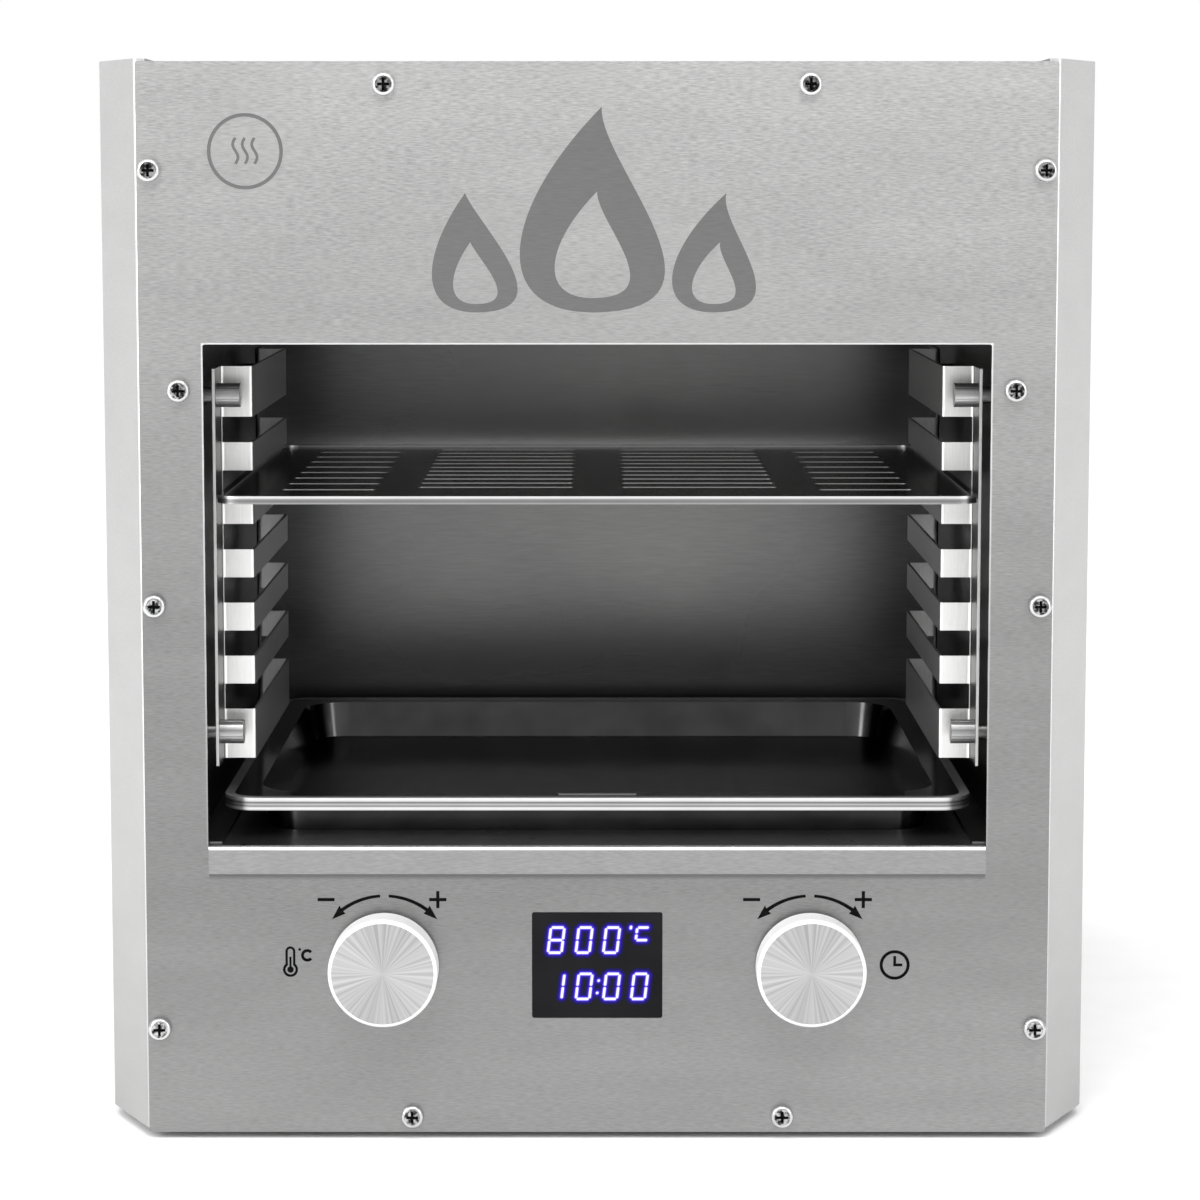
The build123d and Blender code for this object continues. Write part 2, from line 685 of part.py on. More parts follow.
RACK_CENTRE = (0, 4.0 + GASTRO_SHORT / 2)
RACK_RIM = 3.4
RACK_RECESS = 1.1
with BuildPart() as grill_rack:
    with BuildSketch(plan(RACK_LEVEL)):
        with Locations(RACK_CENTRE):
            RectangleRounded(GASTRO_LONG, GASTRO_SHORT, 10)
    extrude(amount=RACK_RIM)
    with BuildSketch(plan(RACK_LEVEL)):
        with Locations(RACK_CENTRE):
            RectangleRounded(GASTRO_LONG - 6, GASTRO_SHORT - 6, 7)
    extrude(amount=RACK_RECESS, mode=Mode.SUBTRACT)
    with BuildSketch(plan(RACK_LEVEL + RACK_RIM)):
        with Locations(RACK_CENTRE):
            RectangleRounded(GASTRO_LONG - 6, GASTRO_SHORT - 6, 7)
    extrude(amount=-RACK_RECESS, mode=Mode.SUBTRACT)
    with BuildSketch(plan(RACK_LEVEL)):
        with Locations((0, 12.5)):
            SlotOverall(36, 3.5)
        for side in (-1, 1):
            for row in range(11):
                with Locations((side * 44.9, 55 + 19.5 * row)):
                    SlotOverall(68.2, 4.5)
            for row in range(8):
                with Locations((side * 117.5, 44 + 27.5 * row)):
                    SlotOverall(41, 4.5)
    extrude(amount=RACK_RIM, mode=Mode.SUBTRACT)
finish(grill_rack, "grill_rack")

TRAY_CENTRE = (0, 15.5 + GASTRO_SHORT / 2)
TRAY_HEIGHT = 17.8
TRAY_SHEET = 1.0
TRAY_LIP = 5.6
TRAY_TAPER = 14
TRAY_MOUTH = (GASTRO_LONG - 26, GASTRO_SHORT - 26)
TRAY_INNER = [size - 2 * TRAY_SHEET for size in TRAY_MOUTH]
with BuildPart() as drip_tray:
    with BuildSketch(plan(FLOOR_TOP + TRAY_HEIGHT)):
        with Locations(TRAY_CENTRE):
            RectangleRounded(*TRAY_MOUTH, 22)
    extrude(amount=-TRAY_HEIGHT, taper=TRAY_TAPER)
    with BuildSketch(plan(FLOOR_TOP + TRAY_HEIGHT)):
        with Locations(TRAY_CENTRE):
            RectangleRounded(*TRAY_INNER, 21)
    extrude(amount=-TRAY_HEIGHT + TRAY_SHEET, taper=TRAY_TAPER, mode=Mode.SUBTRACT)
    with BuildSketch(plan(FLOOR_TOP + TRAY_HEIGHT)):
        with Locations(TRAY_CENTRE):
            RectangleRounded(GASTRO_LONG, GASTRO_SHORT, 14)
            RectangleRounded(*TRAY_INNER, 21, mode=Mode.SUBTRACT)
        with Locations((0, TRAY_CENTRE[1] - GASTRO_SHORT / 2 + 7.5)):
            SlotOverall(36, 3.5, mode=Mode.SUBTRACT)
    extrude(amount=-TRAY_SHEET)
    with BuildSketch(plan(FLOOR_TOP + TRAY_HEIGHT)):
        with Locations(TRAY_CENTRE):
            RectangleRounded(GASTRO_LONG, GASTRO_SHORT, 14)
            RectangleRounded(
                GASTRO_LONG - 2 * TRAY_SHEET,
                GASTRO_SHORT - 2 * TRAY_SHEET,
                13,
                mode=Mode.SUBTRACT,
            )
    extrude(amount=-TRAY_LIP)
finish(drip_tray, "drip_tray")

# ---------------------------------------------------------------- knobs and encoders

BUSHING_RADIUS = 3.5
BUSHING_REACH = 5.0
SHAFT_GAP = 0.05
SHAFT_END = 4.0
PLUNGER_RADIUS = 4.0
KNOBS = {"temp": -KNOB_X, "timer": KNOB_X}

with BuildPart() as encoder_bodies:
    for x in KNOBS.values():
        with BuildSketch(upright(FASCIA_THICK)):
            with Locations((x, KNOB_Z)):
                Rectangle(16, 16)
        extrude(amount=-9)
        with BuildSketch(upright(FASCIA_THICK)):
            with Locations((x, KNOB_Z)):
                Circle(BUSHING_RADIUS)
        extrude(amount=FASCIA_THICK + BUSHING_REACH)
        with BuildSketch(upright(SHAFT_END)):
            with Locations((x, KNOB_Z)):
                Circle(SHAFT_RADIUS + SHAFT_GAP)
        extrude(amount=SHAFT_END + BUSHING_REACH, mode=Mode.SUBTRACT)
        with BuildSketch(upright(8.2)):
            with Locations((x, KNOB_Z)):
                Circle(PLUNGER_RADIUS + SHAFT_GAP)
        extrude(amount=8.2 - SHAFT_END + 0.2, mode=Mode.SUBTRACT)
        with BuildSketch(upright(10.5)):
            for pin in (-5, 0, 5):
                with Locations((x + pin, KNOB_Z - 8)):
                    Rectangle(0.8, 2)
        extrude(amount=-5)
finish(encoder_bodies, "encoder_bodies")

with BuildPart() as encoder_nuts:
    for x in KNOBS.values():
        with BuildSketch(upright(0)):
            with Locations((x, KNOB_Z)):
                RegularPolygon(6.0, 6)
                Circle(BUSHING_RADIUS, mode=Mode.SUBTRACT)
        extrude(amount=1.9)
finish(encoder_nuts, "encoder_nuts")

for name, x in KNOBS.items():
    with BuildPart() as plunger:
        with BuildSketch(upright(SHAFT_END)):
            with Locations((x, KNOB_Z)):
                Circle(PLUNGER_RADIUS)
        extrude(amount=-2.4)
    finish(plunger, f"{name}_plunger")

    with BuildPart() as shaft:
        with BuildSketch(upright(SHAFT_END)):
            with Locations((x, KNOB_Z)):
                Circle(SHAFT_RADIUS)
        extrude(amount=SHAFT_END + KNOB_REACH - 2.5)
    finish(shaft, f"{name}_shaft")

    with BuildPart() as knob:
        with BuildSketch(upright(KNOB_TALL - KNOB_REACH)):
            with Locations((x, KNOB_Z)):
                Circle(KNOB_RADIUS)
        extrude(amount=KNOB_TALL)
        chamfer(knob.faces().sort_by(Axis.Y)[0].edges(), length=1.3)
        with BuildSketch(upright(KNOB_TALL - KNOB_REACH)):
            with Locations((x, KNOB_Z)):
                Circle(9.5)
        extrude(amount=7, mode=Mode.SUBTRACT)
        with BuildSketch(upright(KNOB_TALL - KNOB_REACH - 7)):
            with Locations((x, KNOB_Z)):
                Circle(SHAFT_RADIUS)
        extrude(amount=KNOB_TALL - 7 - 2.5, mode=Mode.SUBTRACT)
    finish(knob, f"{name}_knob")

# ---------------------------------------------------------------- display

BOARD_DEPTH = 14.0
with BuildPart() as display_window:
    with BuildSketch(upright(FASCIA_THICK)):
        with Locations((0, DISPLAY_Z)):
            RectangleRounded(WINDOW_WIDE, WINDOW_HIGH, 0.8)
    extrude(amount=FASCIA_THICK - 0.2)
    with BuildSketch(upright(FASCIA_THICK)):
        with Locations((0, DISPLAY_Z)):
            RectangleRounded(WINDOW_WIDE + 6, WINDOW_HIGH + 6, 2)
    extrude(amount=-1.5)
finish(display_window, "display_window")

with BuildPart() as display_module:
    with BuildSketch(upright(BOARD_DEPTH)):
        with Locations((0, DISPLAY_Z)):
            Rectangle(50.3, 40)
    extrude(amount=BOARD_DEPTH - 4)
finish(display_module, "display_module")

DISPLAY_POSTS = [(side * 35.0, DISPLAY_Z + rise * 21.0) for side in (-1, 1) for rise in (-1, 1)]
with BuildPart() as display_board:
    with BuildSketch(upright(BOARD_DEPTH + 1.6)):
        with Locations((0, DISPLAY_Z)):
            RectangleRounded(80, 52, 2)
        with Locations(*DISPLAY_POSTS):
            Circle(1.6, mode=Mode.SUBTRACT)
    extrude(amount=1.6)
    with BuildSketch(upright(BOARD_DEPTH + 1.6)):
        with Locations((0, DISPLAY_Z - 15)):
            Rectangle(22, 7)
    extrude(amount=-8)
finish(display_board, "display_board")

# ---------------------------------------------------------------- power electronics

SUPPLY = (130.0, 220.0)
TERMINALS = (105.0, 350.0)
CONTROL_X, CONTROL_DEPTH = 20.0, 130.0
CONTROL_Z = BASE_TOP + 8
with BuildPart() as board_standoffs:
    with BuildSketch(plan(BASE_TOP)):
        with Locations((CONTROL_X, CONTROL_DEPTH)):
            with GridLocations(108, 78, 2, 2):
                RegularPolygon(3.2, 6)
    extrude(amount=8)
    with BuildSketch(upright(BOARD_DEPTH)):
        with Locations(*DISPLAY_POSTS):
            RegularPolygon(3.2, 6)
    extrude(amount=BOARD_DEPTH - FASCIA_THICK)
    with BuildSketch(upright(BOARD_DEPTH)):
        with Locations(*DISPLAY_POSTS):
            Circle(1.5)
    extrude(amount=-4)
finish(board_standoffs, "board_standoffs")

with BuildPart() as control_board:
    with BuildSketch(plan(CONTROL_Z)):
        with Locations((CONTROL_X, CONTROL_DEPTH)):
            RectangleRounded(120, 90, 3)
    extrude(amount=1.6)
finish(control_board, "control_board")

with BuildPart() as board_components:
    with BuildSketch(plan(CONTROL_Z + 1.6)):
        with Locations((CONTROL_X - 35, CONTROL_DEPTH + 20)):
            Rectangle(32, 28)
    extrude(amount=24)
    with BuildSketch(plan(CONTROL_Z + 1.6)):
        with Locations((CONTROL_X, CONTROL_DEPTH + 22), (CONTROL_X + 22, CONTROL_DEPTH + 22)):
            Rectangle(15, 19)
    extrude(amount=15)
    with BuildSketch(plan(CONTROL_Z + 1.6)):
        with Locations((CONTROL_X - 40, CONTROL_DEPTH - 18), (CONTROL_X - 26, CONTROL_DEPTH - 18)):
            Circle(5)
    extrude(amount=18)
    with BuildSketch(plan(CONTROL_Z + 1.6)):
        with Locations((CONTROL_X + 8, CONTROL_DEPTH - 12)):
            Rectangle(12, 12)
        with Locations((CONTROL_X + 5, CONTROL_DEPTH - 36)):
            Rectangle(60, 8)
    extrude(amount=3)
finish(board_components, "board_components")

with BuildPart() as power_supply:
    with BuildSketch(plan(BASE_TOP)):
        with Locations(SUPPLY):
            RectangleRounded(55, 90, 2)
    extrude(amount=30)
    with BuildSketch(plan(BASE_TOP + 30)):
        with Locations(SUPPLY):
            with GridLocations(1, 7, 1, 9):
                SlotOverall(38, 3)
    extrude(amount=-1, mode=Mode.SUBTRACT)
finish(power_supply, "power_supply")

SINK = (-100.0, 345.0)
SINK_HEIGHT = 34.0
with BuildPart() as heatsink:
    with BuildSketch(plan(BASE_TOP)):
        with Locations(SINK):
            Rectangle(70, 80)
    extrude(amount=SINK_HEIGHT)
    with BuildSketch(plan(BASE_TOP)):
        with Locations(SINK):
            with GridLocations(7, 1, 8, 1):
                Rectangle(4.4, 80)
    extrude(amount=28, mode=Mode.SUBTRACT)
finish(heatsink, "heatsink")

with BuildPart() as solid_state_relay:
    with BuildSketch(plan(BASE_TOP + SINK_HEIGHT)):
        with Locations(SINK):
            RectangleRounded(45, 58, 2)
    extrude(amount=22)
    with BuildSketch(plan(BASE_TOP + SINK_HEIGHT + 22)):
        for end in (-22, 22):
            with Locations((SINK[0], SINK[1] + end)):
                with GridLocations(26, 1, 2, 1):
                    Circle(4)
    extrude(amount=3)
finish(solid_state_relay, "solid_state_relay")

with BuildPart() as terminal_block:
    with BuildSketch(plan(BASE_TOP)):
        with Locations(TERMINALS):
            Rectangle(72, 22)
    extrude(amount=16)
    with BuildSketch(plan(BASE_TOP + 16)):
        with Locations(TERMINALS):
            with GridLocations(14, 12, 5, 2):
                Circle(2.6)
    extrude(amount=-7, mode=Mode.SUBTRACT)
finish(terminal_block, "terminal_block")

# ---------------------------------------------------------------- cooling fan

FAN_DEPTH = 25.0
FAN_INNER = REAR_SHEET - FAN_DEPTH
FAN_PIN = 2.0
with BuildPart() as fan_frame:
    with BuildSketch(upright(REAR_SHEET)):
        with Locations((FAN_X, FAN_Z)):
            RectangleRounded(FAN_SIZE, FAN_SIZE, 4)
            Circle(FAN_HOLE, mode=Mode.SUBTRACT)
            with GridLocations(FAN_SCREWS, FAN_SCREWS, 2, 2):
                Circle(2.05, mode=Mode.SUBTRACT)
    extrude(amount=FAN_DEPTH)
    with BuildSketch(upright(FAN_INNER + 3)):
        with Locations((FAN_X, FAN_Z)):
            Circle(16)
            with PolarLocations(28, 4, start_angle=45):
                Rectangle(26, 4)
    extrude(amount=3)
    with BuildSketch(upright(FAN_INNER + 3)):
        with Locations((FAN_X, FAN_Z)):
            Circle(FAN_PIN)
    extrude(amount=-14)
finish(fan_frame, "fan_frame")

BLADES = 7
BLADE_PITCH = 40
with BuildPart() as fan_rotor:
    with BuildSketch(upright(REAR_SHEET - 1.5)):
        with Locations((FAN_X, FAN_Z)):
            Circle(16)
    extrude(amount=FAN_DEPTH - 5.5)
    for blade in range(BLADES):
        turn = radians(360 / BLADES * blade)
        middle = (FAN_X, FRONT + REAR_SHEET - 12, FAN_Z)
        outwards = Plane(origin=middle, x_dir=(0, 1, 0), z_dir=(cos(turn), 0, sin(turn)))
        with BuildSketch(outwards.offset(14.5)):
            Rectangle(20, 1.6, rotation=BLADE_PITCH)
        extrude(amount=22)
    with BuildSketch(upright(REAR_SHEET - 7)):
        with Locations((FAN_X, FAN_Z)):
            Circle(FAN_PIN + 0.05)
    extrude(amount=FAN_DEPTH, mode=Mode.SUBTRACT)
finish(fan_rotor, "fan_rotor")

with BuildPart() as fan_guard:
    for ring in (9, 18, 27, 36):
        with BuildSketch(upright(BODY_DEPTH + GUARD_REACH)):
            with Locations((FAN_X, FAN_Z)):
                Circle(ring + 1)
                Circle(ring - 1, mode=Mode.SUBTRACT)
        extrude(amount=1.8)
    with BuildSketch(upright(BODY_DEPTH + 1.8)):
        with Locations((FAN_X, FAN_Z)):
            with PolarLocations(26, 4, start_angle=45):
                Rectangle(49.2, 2)
            with GridLocations(FAN_SCREWS, FAN_SCREWS, 2, 2):
                Circle(4)
                Circle(2.2, mode=Mode.SUBTRACT)
    extrude(amount=1.8)
finish(fan_guard, "fan_guard")

fan_screw = pan_screw(7.0, 1.6, 4.0, 10)
with BuildPart() as fan_screws:
    for side in (-1, 1):
        for rise in (-1, 1):
            place = (FAN_X + side * FAN_SCREWS / 2, FRONT + BODY_DEPTH + 1.8, FAN_Z + rise * FAN_SCREWS / 2)
            with Locations(Location(place, (-90, 0, 0))):
                add(fan_screw)
finish(fan_screws, "fan_screws")

# ---------------------------------------------------------------- mains inlet and switch

with BuildPart() as mains_inlet:
    with BuildSketch(upright(BODY_DEPTH)):
        with Locations((INLET_X, POWER_Z)):
            RectangleRounded(50, 26, 5)
            with GridLocations(40, 10, 2, 1):
                Circle(1.7, mode=Mode.SUBTRACT)
    extrude(amount=-2.6)
    with BuildSketch(upright(BODY_DEPTH)):
        with Locations((INLET_X, POWER_Z)):
            Rectangle(28, 22)
    extrude(amount=20)
    with BuildSketch(upright(BODY_DEPTH + 2.6)):
        with Locations((INLET_X, POWER_Z)):
            RectangleRounded(24.4, 16.6, 3)
    extrude(amount=18, mode=Mode.SUBTRACT)
finish(mains_inlet, "mains_inlet")

with BuildPart() as inlet_pins:
    for x, z in ((INLET_X - 7, POWER_Z - 2), (INLET_X, POWER_Z + 2), (INLET_X + 7, POWER_Z - 2)):
        with BuildSketch(upright(BODY_DEPTH + 2.6 - 18)):
            with Locations((x, z)):
                Rectangle(2, 4)
        extrude(amount=-12)
finish(inlet_pins, "inlet_pins")

inlet_screw = pan_screw(5.4, 0.8, 3.0, 9)
with BuildPart() as inlet_screws:
    for side in (-1, 1):
        place = (INLET_X + side * 20, FRONT + BODY_DEPTH + 2.6, POWER_Z)
        with Locations(Location(place, (-90, 0, 0))):
            add(inlet_screw)
finish(inlet_screws, "inlet_screws")

PIVOT_DEPTH = BODY_DEPTH - 6.6
with BuildPart() as switch_frame:
    with BuildSketch(upright(BODY_DEPTH)):
        with Locations((SWITCH_X, POWER_Z)):
            RectangleRounded(25, 34, 1.5)
    extrude(amount=-1.6)
    with BuildSketch(upright(BODY_DEPTH)):
        with Locations((SWITCH_X, POWER_Z)):
            Rectangle(22, 30.6)
    extrude(amount=20)
    with BuildSketch(upright(BODY_DEPTH + 1.6)):
        with Locations((SWITCH_X, POWER_Z)):
            Rectangle(18, 27.4)
    extrude(amount=17, mode=Mode.SUBTRACT)
    with BuildSketch(side_on(SWITCH_X - 10.2)):
        with Locations((PIVOT_DEPTH, POWER_Z)):
            Circle(1.55)
    extrude(amount=20.4, mode=Mode.SUBTRACT)
finish(switch_frame, "switch_frame")

with BuildPart() as power_rocker:
    with BuildSketch(side_on(SWITCH_X - 8.6)):
        with Locations(Location((PIVOT_DEPTH, POWER_Z), 10)):
            Polygon((8.1, -11.5), (5.5, 0), (8.1, 11.5), (-2.5, 9.5), (-4.5, 0), (-2.5, -9.5), align=None)
    extrude(amount=17.2)
    with BuildSketch(side_on(SWITCH_X - 10.1)):
        with Locations((PIVOT_DEPTH, POWER_Z)):
            Circle(1.5)
    extrude(amount=20.2)
finish(power_rocker, "power_rocker")
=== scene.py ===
import math

import bmesh
import bpy
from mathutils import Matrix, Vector


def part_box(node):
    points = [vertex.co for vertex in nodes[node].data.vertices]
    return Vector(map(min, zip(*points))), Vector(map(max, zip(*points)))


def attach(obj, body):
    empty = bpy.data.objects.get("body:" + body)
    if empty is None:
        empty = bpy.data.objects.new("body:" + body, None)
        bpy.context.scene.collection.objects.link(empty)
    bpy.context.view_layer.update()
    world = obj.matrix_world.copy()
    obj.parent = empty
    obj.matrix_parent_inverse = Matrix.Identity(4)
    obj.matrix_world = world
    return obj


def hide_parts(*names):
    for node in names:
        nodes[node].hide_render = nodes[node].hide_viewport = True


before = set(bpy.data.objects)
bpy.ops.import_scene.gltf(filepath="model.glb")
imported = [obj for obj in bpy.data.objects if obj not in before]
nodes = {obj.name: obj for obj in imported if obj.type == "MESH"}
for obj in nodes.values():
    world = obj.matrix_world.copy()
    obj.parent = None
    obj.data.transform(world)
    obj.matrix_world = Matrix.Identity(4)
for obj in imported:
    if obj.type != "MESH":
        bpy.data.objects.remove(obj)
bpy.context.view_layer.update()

MM = 0.001


# ---------------------------------------------------------------- materials

class Shader:
    """A Principled material with short ways to add the nodes that pattern it."""

    def __init__(self, name, colour, roughness, metallic=0.0, **sockets):
        self.material = bpy.data.materials.new(name)
        self.material.use_nodes = True
        self.tree = self.material.node_tree
        self.surface = self.tree.nodes["Principled BSDF"]
        self.colour = (*colour, 1.0)
        self.surface.inputs["Base Color"].default_value = self.colour
        self.surface.inputs["Roughness"].default_value = roughness
        self.surface.inputs["Metallic"].default_value = metallic
        for socket, value in sockets.items():
            self.surface.inputs[socket.replace("_", " ")].default_value = value
        self.coords = self.tree.nodes.new("ShaderNodeTexCoord")

    def node(self, kind, **settings):
        made = self.tree.nodes.new("ShaderNode" + kind)
        for key, value in settings.items():
            setattr(made, key, value)
        return made

    def link(self, output, entry):
        self.tree.links.new(output, entry)

    def noise(self, scale, detail=2.0, stretch=(1, 1, 1), shift=(0, 0, 0)):
        """Noise whose features are 1/scale metres wide, drawn out by stretch."""
        mapping = self.node("Mapping")
        mapping.inputs["Location"].default_value = shift
        mapping.inputs["Scale"].default_value = [1 / s for s in stretch]
        texture = self.node("TexNoise")
        texture.inputs["Scale"].default_value = scale
        texture.inputs["Detail"].default_value = detail
        self.link(self.coords.outputs["Object"], mapping.inputs["Vector"])
        self.link(mapping.outputs["Vector"], texture.inputs["Vector"])
        return texture.outputs["Fac"]

    def ramp(self, factor, *stops):
        """A colour for each value of the factor, from stops of (value, colour)."""
        ramp = self.node("ValToRGB")
        elements = ramp.color_ramp.elements
        while len(elements) < len(stops):
            elements.new(0.5)
        for element, (place, colour) in zip(elements, stops):
            element.position = place
            element.color = (*colour, 1.0) if len(colour) == 3 else colour
        self.link(factor, ramp.inputs["Fac"])
        return ramp.outputs["Color"]

    def range(self, value, low, high, to_low, to_high):
        """The value carried from one range to another and clamped to it."""
        mapped = self.node("MapRange")
        for socket, number in zip(("From Min", "From Max", "To Min", "To Max"), (low, high, to_low, to_high)):
            mapped.inputs[socket].default_value = number
        self.link(value, mapped.inputs["Value"])
        return mapped.outputs["Result"]

    def multiply(self, first, second):
        mix = self.node("Mix", data_type="RGBA", blend_type="MULTIPLY")
        mix.inputs["Factor"].default_value = 1.0
        return self.mixed(mix, first, second)

    def blend(self, factor, first, second):
        """The first colour where the factor is 0 and the second where it is 1."""
        mix = self.node("Mix", data_type="RGBA")
        self.link(factor, mix.inputs["Factor"])
        return self.mixed(mix, first, second)

    def mixed(self, mix, first, second):
        for colour, entry in ((first, mix.inputs[6]), (second, mix.inputs[7])):
            if isinstance(colour, tuple):
                entry.default_value = colour
            else:
                self.link(colour, entry)
        return mix.outputs[2]

    def height(self, axis):
        """One object coordinate, in metres."""
        parts = self.node("SeparateXYZ")
        self.link(self.coords.outputs["Object"], parts.inputs["Vector"])
        return parts.outputs[axis]

    def paint(self, colour):
        """Use an output as the base colour."""
        self.link(colour, self.surface.inputs["Base Color"])

    def rough(self, value):
        """Use an output as the roughness."""
        self.link(value, self.surface.inputs["Roughness"])

    def drawn_out(self, axis):
        """Turn the anisotropic highlight about an axis."""
        tangent = self.node("Tangent", direction_type="RADIAL", axis=axis)
        self.link(tangent.outputs["Tangent"], self.surface.inputs["Tangent"])

    def bump(self, value, distance, strength=1.0):
        bump = self.node("Bump")
        bump.inputs["Distance"].default_value = distance
        bump.inputs["Strength"].default_value = strength
        self.link(value, bump.inputs["Height"])
        self.link(bump.outputs["Normal"], self.surface.inputs["Normal"])


def grey(value):
    return (value, value, value)


def solid_grey(value):
    return (value, value, value, 1.0)


def brushed(name, tone, roughness, along, contrast=0.1, painted_shade_levels=None, painted_light_trim=None, turn_axis="Z"):
    """Brushed stainless steel with its grain along one axis, which draws highlights out across the grain.

    levels are (height, share of the tone) and paint shade on the sheet by height, darker low down; trim adds
    painted highlights and painted shade to the colour; turn_axis lies in the sheet, across its grain.
    """
    shader = Shader(
        name, (tone, tone, tone * 0.995), roughness, 1.0, Anisotropic=0.75, Anisotropic_Rotation=0.25,
    )
    shader.drawn_out(turn_axis)
    across, wide = [0.12] * 3, [0.2] * 3
    across["XYZ".index(along)] = wide["XYZ".index(along)] = 1.0
    fine = shader.noise(260, 4.0, across)
    broad = shader.noise(12, 2.0, wide, (3.1, 1.7, 0.4))
    grain = shader.ramp(fine, (0.3, grey(1 - contrast)), (0.7, grey(1 + contrast)))
    cloud = shader.ramp(broad, (0.3, grey(1 - contrast * 0.3)), (0.7, grey(1 + contrast * 0.3)))
    colour = shader.multiply(shader.multiply(grain, shader.colour), cloud)
    # painted shade: the tone is scaled by height, darker low down
    if painted_shade_levels:
        top = painted_shade_levels[-1][0]
        stops = [(height / top, grey(share)) for height, share in painted_shade_levels]
        level = shader.range(shader.height("Z"), 0.0, top, 0.0, 1.0)
        colour = shader.multiply(colour, shader.ramp(level, *stops))
    # painted highlights and painted shade from the trim, where one is given
    shader.paint(painted_light_trim(shader, colour) if painted_light_trim else colour)
    shader.rough(shader.range(fine, 0.25, 0.75, roughness - 0.07, roughness + 0.07))
    shader.bump(fine, 0.00003, 0.6)
    return shader.material


def heated(name, tone, roughness, along):
    """Polished steel dulled by heat: soft drifts, a few faint smudges and the rolling grain."""
    shader = Shader(name, grey(tone), roughness, 1.0)
    across = [0.06] * 3
    across["XYZ".index(along)] = 1.0
    fine = shader.noise(85, 3.0, across)
    drift = shader.noise(5, 2.0, (1, 1, 1), (0.7, 0.2, 0.5))
    smudge = shader.noise(22, 2.0, (1.6, 1, 1), (2.0, 4.0, 1.0))
    tint = shader.ramp(
        drift,
        (0.30, (tone * 0.90, tone * 0.90, tone * 0.91)),
        (0.50, (tone, tone, tone)),
        (0.72, (tone * 1.08, tone * 1.07, tone * 1.06)),
    )
    grain = shader.ramp(fine, (0.3, grey(0.9)), (0.7, grey(1.06)))
    marks = shader.ramp(smudge, (0.24, grey(0.84)), (0.36, grey(1.0)))
    shader.paint(shader.multiply(shader.multiply(tint, grain), marks))
    shader.rough(shader.range(drift, 0.3, 0.7, roughness + 0.05, roughness - 0.03))
    shader.bump(fine, 0.00002, 0.4)
    return shader.material


def polished(name, tone, roughness):
    """Bright metal with faint wiping marks."""
    shader = Shader(name, grey(tone), roughness, 1.0)
    marks = shader.noise(45, 4.0, (1, 0.4, 1), (0.3, 0.9, 0.1))
    clouds = shader.ramp(marks, (0.25, grey(0.75)), (0.6, grey(1.0)))
    shader.paint(shader.multiply(clouds, shader.colour))
    shader.rough(shader.range(marks, 0.2, 0.8, roughness * 1.6, roughness * 0.7))
    shader.bump(marks, 0.00001, 0.3)
    return shader.material


def painted_light_steel(name, shade_tone, bright, roughness, mask, rim=None, wall_shade=1.0):
    """Steel painted bright where the mask is 1 and dark where it is 0: painted highlights, and painted shade
    with mottled stains.

    rim is (node, height, tones): painted highlights and painted shade in bands up the rolled edge, from its
    lower side to the top of the node. walls is the share of the dark tone that is left on faces that stand
    up, as painted shade.
    """
    shader = Shader(name, grey(bright), roughness, 1.0)
    marks = shader.noise(45, 4.0, (1, 0.5, 1), (0.3, 0.9, 0.1))
    stain_and_shade = shader.ramp(marks, (0.3, grey(shade_tone * 0.8)), (0.65, grey(shade_tone * 1.15)))
    # painted shade: faces that stand up are darker
    if wall_shade < 1.0:
        painted_wall_shade = shader.blend(upright_faces(shader), solid_grey(1.0), solid_grey(wall_shade))
        stain_and_shade = shader.multiply(stain_and_shade, painted_wall_shade)
    clean_and_lit = shader.ramp(marks, (0.3, grey(bright * 0.93)), (0.65, grey(bright)))
    # painted highlights and painted shade in bands up the rolled edge
    if rim:
        node, tall, tones = rim
        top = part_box(node)[1].z
        level = shader.range(shader.height("Z"), top - tall * MM, top, 0.0, 1.0)
        clean_and_lit = shader.multiply(clean_and_lit, shader.ramp(level, *[(place, grey(tone)) for place, tone in tones]))
    # painted highlight where the mask is 1, painted shade where it is 0
    where = mask(shader)
    shader.paint(shader.blend(where, stain_and_shade, clean_and_lit))
    shader.rough(shader.range(where, 0.0, 1.0, roughness, max(roughness, 0.38)))
    shader.bump(marks, 0.00001, 0.3)
    return shader.material


def maths(shader, operation, *values):
    made = shader.node("Math", operation=operation)
    for socket, value in zip(made.inputs, values):
        if isinstance(value, (int, float)):
            socket.default_value = value
        else:
            shader.link(value, socket)
    return made.outputs["Value"]


def outer_edge(node, wide, corner):
    """Mask of a node's outer edge in plan, with round corners: 1 within that width of it, in millimetres."""
    low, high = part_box(node)
    middle = (low + high) / 2

    def mask(shader):
        squares = []
        for axis in (0, 1):
            offset = maths(shader, "SUBTRACT", shader.height("XYZ"[axis]), middle[axis])
            inner = (high[axis] - low[axis]) / 2 - corner * MM
            past = maths(shader, "SUBTRACT", maths(shader, "ABSOLUTE", offset), inner)
            beyond = maths(shader, "MAXIMUM", past, 0.0)
            squares.append(maths(shader, "MULTIPLY", beyond, beyond))
        radius = maths(shader, "SQRT", maths(shader, "ADD", *squares))
        return shader.range(radius, (corner - wide - 0.6) * MM, (corner - wide) * MM, 0.0, 1.0)
    return mask


def upright_faces(shader):
    """Mask of the faces that stand up, such as a rim or the edges of a slot."""
    return shader.range(maths(shader, "ABSOLUTE", normal_part(shader, "Z")), 0.4, 0.7, 1.0, 0.0)


SLOT_HALF = 17.0


